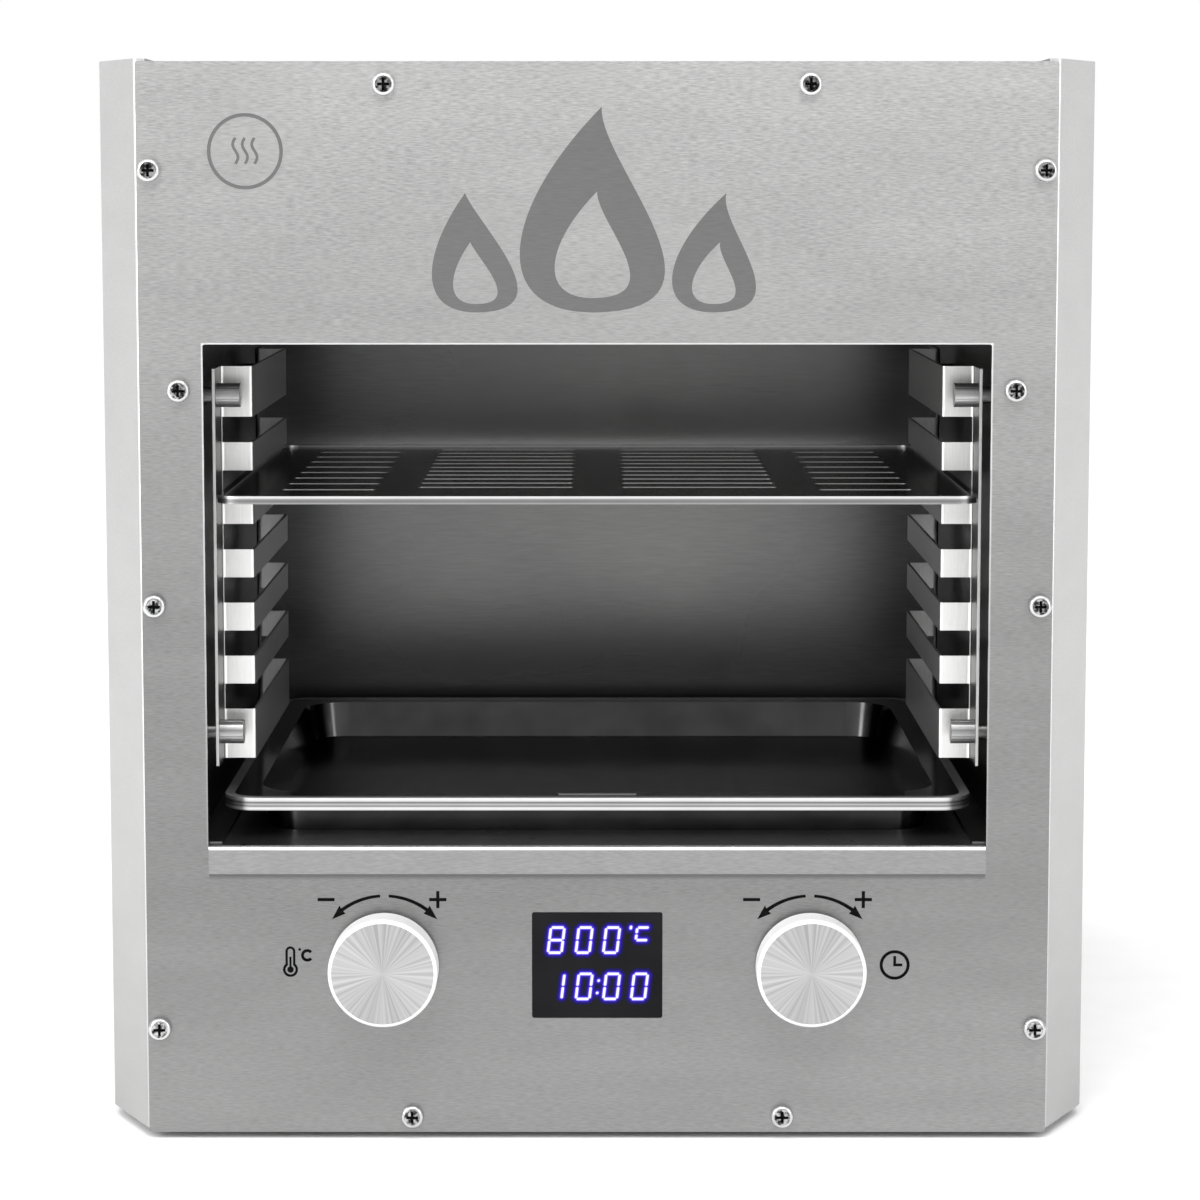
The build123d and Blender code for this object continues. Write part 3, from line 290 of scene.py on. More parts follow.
def with_slot_highlight(mask, node, setback):
    """The mask together with a painted highlight on the far edge of the pull slot, that far behind the node's
    front.
    """
    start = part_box(node)[0].y + setback * MM

    def joined(shader):
        # painted highlight: a bright strip along the slot's far edge
        y = shader.height("Y")
        strip = maths(shader, "MULTIPLY", shader.range(y, start, start + 0.2 * MM, 0.0, 1.0),
                      shader.range(y, start + 1.4 * MM, start + 1.6 * MM, 1.0, 0.0))
        aside = maths(shader, "ABSOLUTE", shader.height("X"))
        inside = shader.range(aside, SLOT_HALF * MM, (SLOT_HALF + 0.5) * MM, 1.0, 0.0)
        return maths(shader, "MAXIMUM", mask(shader), maths(shader, "MULTIPLY", strip, inside))
    return joined


def in_front_of(y):
    """Mask of everything nearer to the front than y."""
    return lambda shader: shader.range(shader.height("Y"), y, y + 0.5 * MM, 1.0, 0.0)


def normal_part(shader, axis):
    """One part of the face's own normal."""
    geometry = shader.node("NewGeometry")
    parts = shader.node("SeparateXYZ")
    shader.link(geometry.outputs["True Normal"], parts.inputs["Vector"])
    return parts.outputs[axis]


def front_faces(shader):
    """Mask of the faces that look to the front."""
    return shader.range(normal_part(shader, "Y"), -0.8, -0.5, 1.0, 0.0)


def top_fold(shader):
    """Mask of a fold's rounded top, above its upright front."""
    return shader.range(normal_part(shader, "Z"), 0.05, 0.15, 0.0, 1.0)


def guide_steel(plate_x):
    """Painted light: a painted highlight where it faces the front, soft grey on the teeth's sides and painted
    shade on the plate behind them.
    """
    shader = Shader("guide_steel", grey(0.8), 0.4, 1.0)
    grain = shader.noise(120, 3.0, (0.1, 0.1, 1.0))
    reach = maths(shader, "ABSOLUTE", shader.height("X"))
    # painted shade on the plate behind the teeth
    behind = shader.range(reach, plate_x - 1.0 * MM, plate_x - 0.5 * MM, 0.0, 1.0)
    sides = shader.blend(behind, solid_grey(0.6), solid_grey(0.16))
    # painted highlight on the faces that look to the front
    colour = shader.blend(front_faces(shader), sides, (0.88, 0.88, 0.87, 1.0))
    shader.paint(shader.multiply(colour, shader.ramp(grain, (0.3, grey(0.94)), (0.7, grey(1.04)))))
    shader.rough(shader.range(grain, 0.25, 0.75, 0.33, 0.46))
    shader.bump(grain, 0.00002, 0.4)
    return shader.material


def floor_steel():
    """The chamber's floor: stained inside, unstained on the lip in front, with a painted highlight along the
    lip's fold.
    """
    shader = Shader("floor_steel", grey(0.3), 0.3, 1.0)
    marks = shader.noise(45, 4.0, (1, 0.5, 1), (0.3, 0.9, 0.1))
    stain_and_shade = shader.ramp(marks, (0.3, grey(0.26)), (0.65, grey(0.36)))
    grain = shader.noise(260, 4.0, (1.0, 0.12, 0.12))
    clean_and_lit = shader.ramp(grain, (0.3, grey(0.235)), (0.7, grey(0.30)))
    # painted highlight along the lip's fold
    outside = shader.blend(top_fold(shader), clean_and_lit, solid_grey(0.95))
    shader.paint(shader.blend(in_front_of(FACE_Y + 1 * MM)(shader), stain_and_shade, outside))
    shader.rough(shader.range(marks, 0.2, 0.8, 0.36, 0.26))
    shader.bump(marks, 0.00001, 0.3)
    return shader.material


def screw_heads():
    """Bright pan heads; the recess's floor, which looks straight to the front, is painted with mottled shade.
    """
    shader = Shader("screw_head_steel", grey(0.62), 0.22, 1.0)
    marks = shader.noise(45, 4.0, (1, 0.4, 1), (0.3, 0.9, 0.1))
    mottle = shader.noise(620, 3.0)
    head = shader.ramp(marks, (0.25, grey(0.46)), (0.6, grey(0.62)))
    # painted shade, mottled, on the recess's floor
    painted_recess_shade = shader.ramp(mottle, (0.42, grey(0.03)), (0.62, grey(0.5)))
    recess = shader.range(normal_part(shader, "Y"), -0.999, -0.98, 1.0, 0.0)
    shader.paint(shader.blend(recess, head, painted_recess_shade))
    shader.rough(shader.range(marks, 0.2, 0.8, 0.35, 0.15))
    shader.bump(marks, 0.00001, 0.3)
    return shader.material


def moulded(name, colour, roughness, grain=0.00003, scale=900):
    """Moulded plastic or rubber with a fine surface texture."""
    shader = Shader(name, colour, roughness)
    pebble = shader.noise(scale, 3.0)
    lighter = tuple(min(1.0, c * 1.25 + 0.004) for c in colour)
    shader.paint(shader.ramp(pebble, (0.3, colour), (0.75, lighter)))
    shader.rough(shader.range(pebble, 0.2, 0.8, roughness - 0.08, roughness + 0.08))
    shader.bump(pebble, grain, 0.5)
    return shader.material


def fibre(name, colour, roughness):
    """Pressed ceramic fibre or fired ceramic, with pores and stains."""
    shader = Shader(name, colour, roughness)
    pores = shader.noise(420, 5.0)
    stains = shader.noise(18, 3.0, (1, 1, 1), (1.3, 0.2, 0.8))
    base = shader.ramp(pores, (0.3, tuple(c * 0.72 for c in colour)), (0.62, colour))
    shader.paint(shader.multiply(base, shader.ramp(stains, (0.35, (0.8, 0.74, 0.66)), (0.6, grey(1.0)))))
    shader.bump(pores, 0.0003, 0.7)
    return shader.material


def circuit(name, colour):
    """Solder mask with copper tracks showing through it."""
    shader = Shader(name, colour, 0.35)
    tracks = shader.node("TexBrick")
    tracks.inputs["Scale"].default_value = 260
    tracks.inputs["Mortar Size"].default_value = 0.06
    shader.link(shader.coords.outputs["Object"], tracks.inputs["Vector"])
    tracks.inputs["Color1"].default_value = (*colour, 1)
    tracks.inputs["Color2"].default_value = (*[c * 0.85 for c in colour], 1)
    tracks.inputs["Mortar"].default_value = (*[min(1, c * 1.7) for c in colour], 1)
    shader.paint(tracks.outputs["Color"])
    return shader.material


def dress(material, *names):
    for name in names:
        for index in range(max(1, len(nodes[name].material_slots))):
            if not nodes[name].material_slots:
                nodes[name].data.materials.append(material)
            else:
                nodes[name].material_slots[index].material = material


plate_low, plate_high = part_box("fascia")
FACE_Y, PLATE_TOP, FASCIA_HALF = plate_low.y, plate_high.z, plate_high.x
MOUTH_HALF, MOUTH_BOTTOM, MOUTH_TOP = 166.6 * MM, 127.4 * MM, 343.5 * MM
GUIDE_PLATE_X = 164 * MM
LIP_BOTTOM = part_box("chamber_floor")[0].z
# painted shade: shares of the tone by height, darker low down on the front plate and on the sides
FRONT_PAINTED_SHADE = ((0.0, 0.66), (0.03, 0.63), (0.105, 0.52), (0.23, 0.58), (0.35, 0.80), (PLATE_TOP, 0.98))
SIDE_PAINTED_SHADE = ((0.0, 0.60), (0.25, 0.85), (PLATE_TOP, 1.0))


def mouth_painted_light(shader, colour):
    """Painted light on the front plate: a painted highlight along the mouth's sides and top, a painted shadow
    under the chamber's lip, and painted shade that makes the plate darker towards its left.
    """
    aside = maths(shader, "SUBTRACT", maths(shader, "ABSOLUTE", shader.height("X")), MOUTH_HALF)
    above = maths(shader, "SUBTRACT", shader.height("Z"), MOUTH_TOP)
    # painted highlight: a bright line along the mouth's sides and top
    line = shader.range(maths(shader, "MAXIMUM", aside, above), 0.3 * MM, 0.8 * MM, 0.8, 0.0)
    beside = shader.range(shader.height("Z"), MOUTH_BOTTOM, MOUTH_TOP, 0.15, 1.0)
    within = shader.range(shader.height("Z"), MOUTH_BOTTOM, MOUTH_BOTTOM + 1 * MM, 0.0, 1.0)
    line = maths(shader, "MULTIPLY", maths(shader, "MULTIPLY", line, beside), within)
    # painted shadow: a dark line just under the chamber's lip
    gap = maths(shader, "SUBTRACT", LIP_BOTTOM, shader.height("Z"))
    shade = maths(shader, "MULTIPLY", shader.range(gap, 0.0, 1.6 * MM, 0.55, 0.0),
                  shader.range(aside, -0.5 * MM, 0.0, 1.0, 0.0))
    shade = maths(shader, "MULTIPLY", shade, shader.range(gap, -1.0 * MM, -0.9 * MM, 0.0, 1.0))
    # painted shade: the plate darker towards its left
    across = shader.range(shader.height("X"), -FASCIA_HALF, FASCIA_HALF, 0.0, 1.0)
    colour = shader.multiply(colour, shader.ramp(across, (0.0, grey(0.92)), (1.0, grey(1.0))))
    shaded = shader.blend(shade, colour, solid_grey(0.1))
    return shader.blend(line, shaded, solid_grey(0.9))


def flat_sides_painted_shade(shader, colour):
    """Painted shade: the large flat sides are painted darker than the wings folded at their front."""
    flat = shader.range(maths(shader, "ABSOLUTE", normal_part(shader, "X")), 0.9, 0.98, 0.0, 1.0)
    return shader.blend(flat, colour, shader.multiply(colour, solid_grey(0.66)))


front_steel = brushed("front_steel", 0.485, 0.40, "X", 0.14, FRONT_PAINTED_SHADE, mouth_painted_light)
panel_steel = brushed("panel_steel", 0.56, 0.38, "X", 0.1)
side_steel = brushed("side_steel", 0.70, 0.38, "Y", 0.08, SIDE_PAINTED_SHADE, flat_sides_painted_shade)
# painted shade: the top cover is a darker copy of the brushed steel, so that the light from above does not
# wash it out
top_steel = brushed("top_steel", 0.42, 0.45, "X", 0.1, turn_axis="Y")
dress(front_steel, "fascia")
dress(side_steel, "left_side_panel", "right_side_panel")
dress(top_steel, "top_cover")
dress(panel_steel, "rear_cover", "base_plate", "bay_shield", "bay_posts", "heater_housing")
dress(floor_steel(), "chamber_floor")
dress(heated("chamber_side_steel", 0.13, 0.3, "Y"), "left_chamber_wall", "right_chamber_wall")
dress(heated("chamber_back_steel", 0.15, 0.27, "X"), "chamber_back", "chamber_ceiling")
dress(guide_steel(GUIDE_PLATE_X), "left_rack_guide", "right_rack_guide")
dress(screw_heads(), "fascia_screws")
dress(polished("screw_steel", 0.68, 0.22), "case_screws", "feet_screws", "fan_screws", "inlet_screws")
dress(polished("thumb_steel", 0.5, 0.3), "guide_thumbscrews", "guide_studs", "guide_spacers")
# painted highlights and painted shade: tones in bands up the rack's and the tray's rolled front edges
RACK_EDGE_PAINTED_HIGHLIGHTS = ((0.0, 0.45), (0.3, 0.22), (0.6, 0.30), (0.75, 0.75), (1.0, 0.80))
TRAY_EDGE_PAINTED_HIGHLIGHTS = (
    (0.0, 0.15), (0.08, 0.75), (0.22, 0.80), (0.34, 0.20),
    (0.48, 0.55), (0.62, 0.15), (0.80, 0.80), (1.0, 0.85),
)
RACK_EDGE_TALL, TRAY_EDGE_TALL = 3.4, 5.6
RACK_SLOT_SETBACK, TRAY_SLOT_SETBACK = 10.0, 9.0
TRAY_RIM_WIDE, TRAY_CORNER = 4.0, 14.0
# painted highlights: the rack's upright faces, the tray's rim, and the far edge of each pull slot
rack_painted_highlight = with_slot_highlight(upright_faces, "grill_rack", RACK_SLOT_SETBACK)
tray_painted_highlight = with_slot_highlight(outer_edge("drip_tray", TRAY_RIM_WIDE, TRAY_CORNER), "drip_tray", TRAY_SLOT_SETBACK)
dress(
    painted_light_steel("rack_steel", 0.2, 0.9, 0.2, rack_painted_highlight, ("grill_rack", RACK_EDGE_TALL, RACK_EDGE_PAINTED_HIGHLIGHTS)),
    "grill_rack",
)
dress(
    painted_light_steel("tray_steel", 0.12, 0.85, 0.15, tray_painted_highlight, ("drip_tray", TRAY_EDGE_TALL, TRAY_EDGE_PAINTED_HIGHLIGHTS), 0.6),
    "drip_tray",
)
dress(polished("shaft_steel", 0.7, 0.3), "temp_shaft", "timer_shaft", "thermocouple")
dress(polished("guard_chrome", 0.8, 0.15), "fan_guard")
dress(polished("nut_brass", 0.6, 0.3), "encoder_nuts", "inlet_pins", "board_standoffs")
dress(moulded("foot_rubber", (0.025, 0.025, 0.025), 0.8, 0.00006, 500), "feet")
dress(
    moulded("black_plastic", (0.018, 0.018, 0.02), 0.5),
    "mains_inlet", "switch_frame", "fan_frame", "fan_rotor",
)
dress(moulded("rocker_plastic", (0.02, 0.02, 0.02), 0.3), "power_rocker")
dress(
    moulded("part_plastic", (0.05, 0.05, 0.055), 0.5),
    "board_components", "display_module", "encoder_bodies", "temp_plunger", "timer_plunger", "thermal_cutout",
)
dress(moulded("pale_plastic", (0.7, 0.69, 0.64), 0.5), "solid_state_relay", "terminal_block")
dress(polished("case_zinc", 0.6, 0.4), "power_supply")
dress(brushed("sink_aluminium", 0.7, 0.4, "Y", 0.06), "heatsink")
dress(fibre("insulation_board", (0.8, 0.77, 0.7), 0.95), "chamber_insulation", "heater_insulation")
dress(fibre("heater_ceramic", (0.62, 0.56, 0.47), 0.85), "heater_plate")
dress(fibre("terminal_ceramic", (0.8, 0.78, 0.72), 0.4), "heater_terminals")
dress(circuit("circuit_board", (0.02, 0.12, 0.05)), "control_board", "display_board")
dress(heated("coil_alloy", 0.2, 0.6, "X"), "heating_coil")


# ---------------------------------------------------------------- flat marks on the front

def piece(name, vertices, faces, material, body="chassis"):
    """A mesh of its own that rides on a body."""
    mesh = bpy.data.meshes.new(name)
    mesh.from_pydata(vertices, [], faces)
    mesh.update()
    made = bpy.data.objects.new(name, mesh)
    bpy.context.scene.collection.objects.link(made)
    mesh.materials.append(material)
    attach(made, body)
    return made


def ribbon(points, widths):
    """Outline of a stroke through the points, with a half width at each."""
    left, right = [], []
    for i, point in enumerate(points):
        ahead = points[min(i + 1, len(points) - 1)]
        behind = points[max(i - 1, 0)]
        along = (Vector(ahead) - Vector(behind)).normalized()
        across = Vector((-along.y, along.x)) * widths[i]
        left.append(tuple(Vector(point) + across))
        right.append(tuple(Vector(point) - across))
    return left + right[::-1]


def stroke(points, width):
    """Outline of a stroke of one width."""
    return ribbon(points, [width / 2] * len(points))


def arc(centre, radius, start, end, steps=24):
    """Points on an arc; angles are in degrees, clockwise from straight up."""
    turns = [math.radians(start + (end - start) * i / steps) for i in range(steps + 1)]
    return [(centre[0] + radius * math.sin(t), centre[1] + radius * math.cos(t)) for t in turns]


def ring(centre, radius, width, steps=48):
    """Two loops that leave a ring between them."""
    return [arc(centre, radius + width / 2, 0, 360 - 360 / steps, steps - 1),
            arc(centre, radius - width / 2, 0, 360 - 360 / steps, steps - 1)]


def bezier(p0, p1, p2, p3, steps=30):
    """Points on a cubic curve, without its last one."""
    points = []
    for i in range(steps):
        t = i / steps
        a, b, c, d = (1 - t) ** 3, 3 * t * (1 - t) ** 2, 3 * t * t * (1 - t), t ** 3
        points.append(tuple(a * p0[axis] + b * p1[axis] + c * p2[axis] + d * p3[axis] for axis in (0, 1)))
    return points


def mesh_of(curve):
    """The mesh that a curve fills or sweeps."""
    shape = bpy.data.objects.new(curve.name + "_curve", curve)
    bpy.context.scene.collection.objects.link(shape)
    mesh = bpy.data.meshes.new_from_object(shape.evaluated_get(bpy.context.evaluated_depsgraph_get()))
    bpy.data.objects.remove(shape)
    return mesh


def marks(name, loops, material, gap):
    """Flat shapes on the front plate from closed loops in millimetres; an inner loop is a hole."""
    curve = bpy.data.curves.new(name, "CURVE")
    curve.dimensions = "2D"
    curve.fill_mode = "BOTH"
    for loop in loops:
        spline = curve.splines.new("POLY")
        spline.points.add(len(loop) - 1)
        for point, (x, z) in zip(spline.points, loop):
            point.co = (x * MM, z * MM, 0, 1)
        spline.use_cyclic_u = True
    mesh = mesh_of(curve)
    vertices = [(v.co.x, FACE_Y - gap, v.co.y) for v in mesh.vertices]
    faces = [tuple(p.vertices) for p in mesh.polygons]
    return piece(name, vertices, faces, material)


def etched():
    """Laser-etched steel: darker and duller than the brushed plate round it."""
    shader = Shader("etched_steel", grey(0.175), 0.5, 1.0)
    grain = shader.noise(160, 3.0, (1, 0.05, 0.05))
    shader.paint(shader.multiply(shader.ramp(grain, (0.3, grey(0.9)), (0.7, grey(1.08))), shader.colour))
    return shader.material


def matt_black():
    """Matt black for the printed marks, and as painted shadow in the screw recesses."""
    shader = Shader("black_ink_and_shade", (0.008, 0.008, 0.009), 0.6, 0.0, Specular_IOR_Level=0.03)
    speck = shader.noise(700, 2.0)
    shader.paint(shader.ramp(speck, (0.3, grey(0.002)), (0.8, grey(0.007))))
    return shader.material


ETCHED, INK_AND_SHADE = etched(), matt_black()
ETCHED_GAP, PRINTED_GAP = 0.04 * MM, 0.05 * MM


def flame(x, z, height, sway):
    """A plain tongue of flame with a smaller one cut out of it."""
    def tongue(scale, lift):
        w, h = 0.30 * height * scale, height * scale
        base = (x, z + lift)
        tip = (x + sway * w, z + lift + h)
        left = bezier(base, (x - 1.7 * w, z + lift), (x - 1.5 * w, z + lift + 0.5 * h), tip)
        right = bezier(tip, (x + 0.1 * w, z + lift + 0.72 * h), (x + 2.6 * w, z + lift), base)
        return left + right
    return [tongue(1.0, 0.0), tongue(0.52, 0.07 * height)]


FLAME_BASE = 357
emblem = flame(-2, FLAME_BASE, 86, 0.15) + flame(-51, FLAME_BASE, 50, -0.3) + flame(49, FLAME_BASE, 50, 0.35)
marks("etched_emblem", emblem, ETCHED, ETCHED_GAP)


HOT_X, HOT_Z, HOT_RADIUS = -147.7, 424.5, 15.2
hot = ring((HOT_X, HOT_Z), HOT_RADIUS, 1.5)
for shift in (-4, 0, 4):
    wave = [(HOT_X + shift + 1.1 * math.sin(i / 12 * 2 * math.pi), HOT_Z - 5.2 + i * 0.9) for i in range(13)]
    hot.append(stroke(wave, 1.2))
marks("etched_hot_sign", hot, ETCHED, ETCHED_GAP)


def centre_of(node):
    """Middle of a node as seen from the front, in millimetres."""
    low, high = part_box(node)
    return ((low.x + high.x) / 2 / MM, (low.z + high.z) / 2 / MM)


ARROW_RADIUS = 30.2
ARROW_HEAD = ((2.2, 36.6), (0, 48.5), (-2.2, 36.6))


def turn_arrows(centre):
    """Minus and plus, each with a curved arrow that follows the knob's edge."""
    loops = []
    for side in (-1, 1):
        outer, inner = [], []
        for i in range(21):
            turn = side * (3.5 + 33.5 * i / 20)
            half = 0.62 + 0.16 * i / 20
            outer += arc(centre, ARROW_RADIUS + half, turn, turn, 1)[:1]
            inner += arc(centre, ARROW_RADIUS - half, turn, turn, 1)[:1]
        head = []
        for reach, turn in ARROW_HEAD:
            head += arc(centre, ARROW_RADIUS + reach, side * turn, side * turn, 1)[:1]
        loops.append(outer + head + inner[::-1])
    x, z = centre[0], centre[1] + 28.6
    loops.append([(x - 28.7, z - 0.7), (x - 21.4, z - 0.7), (x - 21.4, z + 0.7), (x - 28.7, z + 0.7)])
    px, arm, half = x + 22.9, 3.7, 0.7
    loops.append([
        (px - arm, z - half), (px - half, z - half), (px - half, z - arm), (px + half, z - arm),
        (px + half, z - half), (px + arm, z - half), (px + arm, z + half), (px + half, z + half),
        (px + half, z + arm), (px - half, z + arm), (px - half, z + half), (px - arm, z + half),
    ])
    return loops


def thermometer(x, z):
    """A thermometer beside a degree sign and a C."""
    loops = [arc((x, z - 3.6), 3.25, 41, 319, 24) + arc((x, z + 4.4), 2.15, -90, 90, 10)]
    loops.append(arc((x, z - 3.6), 2.15, 31, 329, 24) + arc((x, z + 4.4), 1.1, -90, 90, 10))
    loops.append(arc((x, z - 3.6), 1.4, 19, 341, 16) + [(x - 0.45, z + 2.0), (x + 0.45, z + 2.0)])
    loops.append(arc((x + 4.0, z + 5.2), 0.6, 0, 345, 16))
    loops.append(stroke(arc((x + 7.3, z + 2.6), 2.1, 130, 410, 20), 1.3))
    return loops


def clock(x, z):
    """A clock face with two hands at right angles."""
    loops = ring((x, z), 5.8, 1.35)
    loops.append([(x - 0.6, z - 0.6), (x + 3.3, z - 0.6), (x + 3.3, z + 0.6), (x + 0.6, z + 0.6),
                  (x + 0.6, z + 3.9), (x - 0.6, z + 3.9)])
    return loops


temp_centre, timer_centre = centre_of("temp_knob"), centre_of("timer_knob")
printed = turn_arrows(temp_centre) + turn_arrows(timer_centre)
printed += clock(timer_centre[0] + 36.6, timer_centre[1])
marks("front_print", printed, INK_AND_SHADE, PRINTED_GAP)
marks("thermometer_print", thermometer(temp_centre[0] - 40.6, temp_centre[1] + 1.6), INK_AND_SHADE, PRINTED_GAP)


# ---------------------------------------------------------------- display

def window_glass():
    """Dark glass with faint smears."""
    shader = Shader("window_glass", (0.006, 0.006, 0.008), 0.1, 0.0, Specular_IOR_Level=0.1)
    smear = shader.noise(30, 3.0)
    shader.rough(shader.range(smear, 0.3, 0.7, 0.08, 0.15))
    shader.paint(shader.ramp(smear, (0.3, (0.003, 0.003, 0.004)), (0.8, (0.008, 0.008, 0.01))))
    return shader.material


dress(window_glass(), "display_window")
WINDOW_X, WINDOW_Z = centre_of("display_window")
WINDOW_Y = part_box("display_window")[0].y


def glow(name, colour, strength):
    """One band of a lit segment's light; the dark base is mottled as the diffuser is."""
    shader = Shader(name, (0.002, 0.002, 0.004), 0.6, 0.0, Specular_IOR_Level=0.1, Emission_Strength=strength)
    shader.surface.inputs["Emission Color"].default_value = (*colour, 1.0)
    mottle = shader.noise(2500, 2.0)
    shader.paint(shader.ramp(mottle, (0.3, (0.001, 0.001, 0.003)), (0.8, (0.004, 0.003, 0.01))))
    return shader.material


BANDS = (
    (0.00, None),
    (0.46, glow("light_core", (0.90, 0.89, 1.0), 1.3)),
    (0.64, glow("light_edge", (0.50, 0.44, 1.0), 1.15)),
    (0.86, glow("light_rim", (0.16, 0.09, 0.98), 1.0)),
    (1.15, glow("light_near_halo", (0.045, 0.018, 0.72), 0.9)),
    (1.60, glow("light_mid_halo", (0.018, 0.007, 0.36), 0.85)),
    (2.40, glow("light_far_halo", (0.007, 0.003, 0.13), 0.85)),
)
SEGMENTS = {"0": "abcdef", "1": "bc", "8": "abcdefg"}
LEAN = 0.12
BAR = 1.1


def segment_lines(x, z, wide, tall):
    """Ends of the seven segments of a digit whose lower left corner is x, z."""
    inset = BAR / 2 + 0.3
    low, middle, high = z + BAR / 2, z + tall / 2, z + tall - BAR / 2
    left, right = x + BAR / 2, x + wide - BAR / 2
    return {
        "a": ((left + inset, high), (right - inset, high)),
        "b": ((right, high - inset), (right, middle + inset)),
        "c": ((right, middle - inset), (right, low + inset)),
        "d": ((left + inset, low), (right - inset, low)),
        "e": ((left, middle - inset), (left, low + inset)),
        "f": ((left, high - inset), (left, middle + inset)),
        "g": ((left + inset, middle), (right - inset, middle)),
    }


def glowing(name, lines, lean_from):
    """Bars of light: nested bands from a hot core to a faint halo, each nearer the glass than the last."""
    vertices, faces, band_of = [], [], []
    sides = 20
    for start, end in lines:
        a, b = Vector(start), Vector(end)
        along = (b - a).normalized() if (b - a).length > 1e-6 else Vector((1, 0))
        across = Vector((-along.y, along.x))
        rings = []
        for level, (reach, _) in enumerate(BANDS):
            loop = []
            for i in range(sides):
                turn = 2 * math.pi * (i + 0.5) / sides
                anchor = b if math.cos(turn) > 0 else a
                point = anchor + along * math.cos(turn) * reach + across * math.sin(turn) * reach
                slant = (point.y - lean_from) * LEAN
                loop.append(len(vertices))
                lift = 0.14 - 0.018 * level
                vertices.append(((point.x + slant) * MM, WINDOW_Y - lift * MM, point.y * MM))
            rings.append(loop)
        for level, (inner, outer) in enumerate(zip(rings, rings[1:])):
            for i in range(sides):
                j = (i + 1) % sides
                faces.append((inner[i], outer[i], outer[j], inner[j]))
                band_of.append(level)
    made = piece(name, vertices, faces, BANDS[1][1])
    for _, material in BANDS[2:]:
        made.data.materials.append(material)
    made.data.polygons.foreach_set("material_index", band_of)
    return made


DIGIT_WIDE, DIGIT_TALL = 6.9, 12.1
DIGIT_PLACES = (-21.8, -9.8, 2.0, 14.0)
UPPER_ROW, LOWER_ROW = WINDOW_Z + 4.9, WINDOW_Z - 15.4


def reading(digits, row):
    """The lit segments of a row of digits that stands on that height."""
    lines = []
    for digit, x in zip(digits, DIGIT_PLACES):
        segments = segment_lines(WINDOW_X + x, row, DIGIT_WIDE, DIGIT_TALL)
        lines += [segments[letter] for letter in SEGMENTS[digit]]
    return lines


upper, lower = reading("800", UPPER_ROW), reading("1000", LOWER_ROW)
unit = segment_lines(WINDOW_X + 15.3, WINDOW_Z + 10.4, 6.3, 6.6)
upper += [unit[letter] for letter in "aefd"]
upper.append(((WINDOW_X + 13.1, WINDOW_Z + 16.2), (WINDOW_X + 13.1, WINDOW_Z + 16.7)))
for z in (-6.8, -12.2):
    lower.append(((WINDOW_X - 0.4, WINDOW_Z + z), (WINDOW_X - 0.4, WINDOW_Z + z)))
glowing("temperature_reading", upper, UPPER_ROW)
glowing("timer_reading", lower, LOWER_ROW)


# ---------------------------------------------------------------- painted shadow in the screw recesses

def islands(node):
    """Box of each separate solid in a node's mesh."""
    mesh = bmesh.new()
    mesh.from_mesh(nodes[node].data)
    left, groups = set(mesh.verts), []
    while left:
        edge, group = [left.pop()], []
        while edge:
            vertex = edge.pop()
            group.append(vertex.co.copy())
            for link in vertex.link_edges:
                other = link.other_vert(vertex)
                if other in left:
                    left.remove(other)
                    edge.append(other)
        low = Vector(min(v[axis] for v in group) for axis in range(3))
        high = Vector(max(v[axis] for v in group) for axis in range(3))
        groups.append((low, high))
    mesh.free()
    return groups


CROSS = (
    (0.1, 0.1), (0.06, 0.26), (-0.06, 0.26), (-0.1, 0.1), (-0.26, 0.06), (-0.26, -0.06),
    (-0.1, -0.1), (-0.06, -0.26), (0.06, -0.26), (0.1, -0.1), (0.26, -0.06), (0.26, 0.06),
)
CROSS_SIZE, CROSS_DEPTH = 0.97, 0.155


def recesses(name, node):
    """A dark cross of painted shadow in each recess of screws that face the front; its sizes are shares of
    the head.
    """
    vertices, faces = [], []
    for low, high in islands(node):
        middle = (low + high) / 2
        head = high.x - low.x
        first = len(vertices)
        for a, b in CROSS:
            x = middle.x + a * head * CROSS_SIZE
            z = middle.z + b * head * CROSS_SIZE
            vertices.append((x, low.y + CROSS_DEPTH * head, z))
        faces.append(tuple(range(first, first + len(CROSS))))
    return piece(name, vertices, faces, INK_AND_SHADE)


# painted shadow: a dark cross in each front screw's recess
recesses("front_screw_recess_shadows", "fascia_screws")


# ---------------------------------------------------------------- knobs

def spun(name):
    """Turned aluminium whose fine rings draw the lights out into rays, with faint streaks from the centre."""
    shader = Shader(name, grey(0.5), 0.3, 1.0, Anisotropic=0.85, Anisotropic_Rotation=0.25)
    shader.drawn_out("Y")
    rings = shader.node("TexWave", wave_type="RINGS", rings_direction="Y")
    rings.inputs["Scale"].default_value = 900
    rings.inputs["Distortion"].default_value = 0.4
    shader.link(shader.coords.outputs["Object"], rings.inputs["Vector"])
    turn = maths(shader, "ARCTAN2", shader.height("X"), shader.height("Z"))
    place = shader.range(turn, -math.pi, math.pi, 0.0, 1.0)
    streaks = shader.node("TexNoise", noise_dimensions="1D")
    streaks.inputs["Scale"].default_value = 70
    streaks.inputs["Detail"].default_value = 3.0
    shader.link(place, streaks.inputs["W"])
    rays = shader.ramp(streaks.outputs["Fac"], (0.32, grey(0.36)), (0.68, grey(0.50)))
    turning = shader.ramp(rings.outputs["Fac"], (0.0, grey(0.93)), (1.0, grey(1.0)))
    shader.paint(shader.multiply(turning, rays))
    shader.bump(rings.outputs["Fac"], 0.000004, 0.5)
    return shader.material


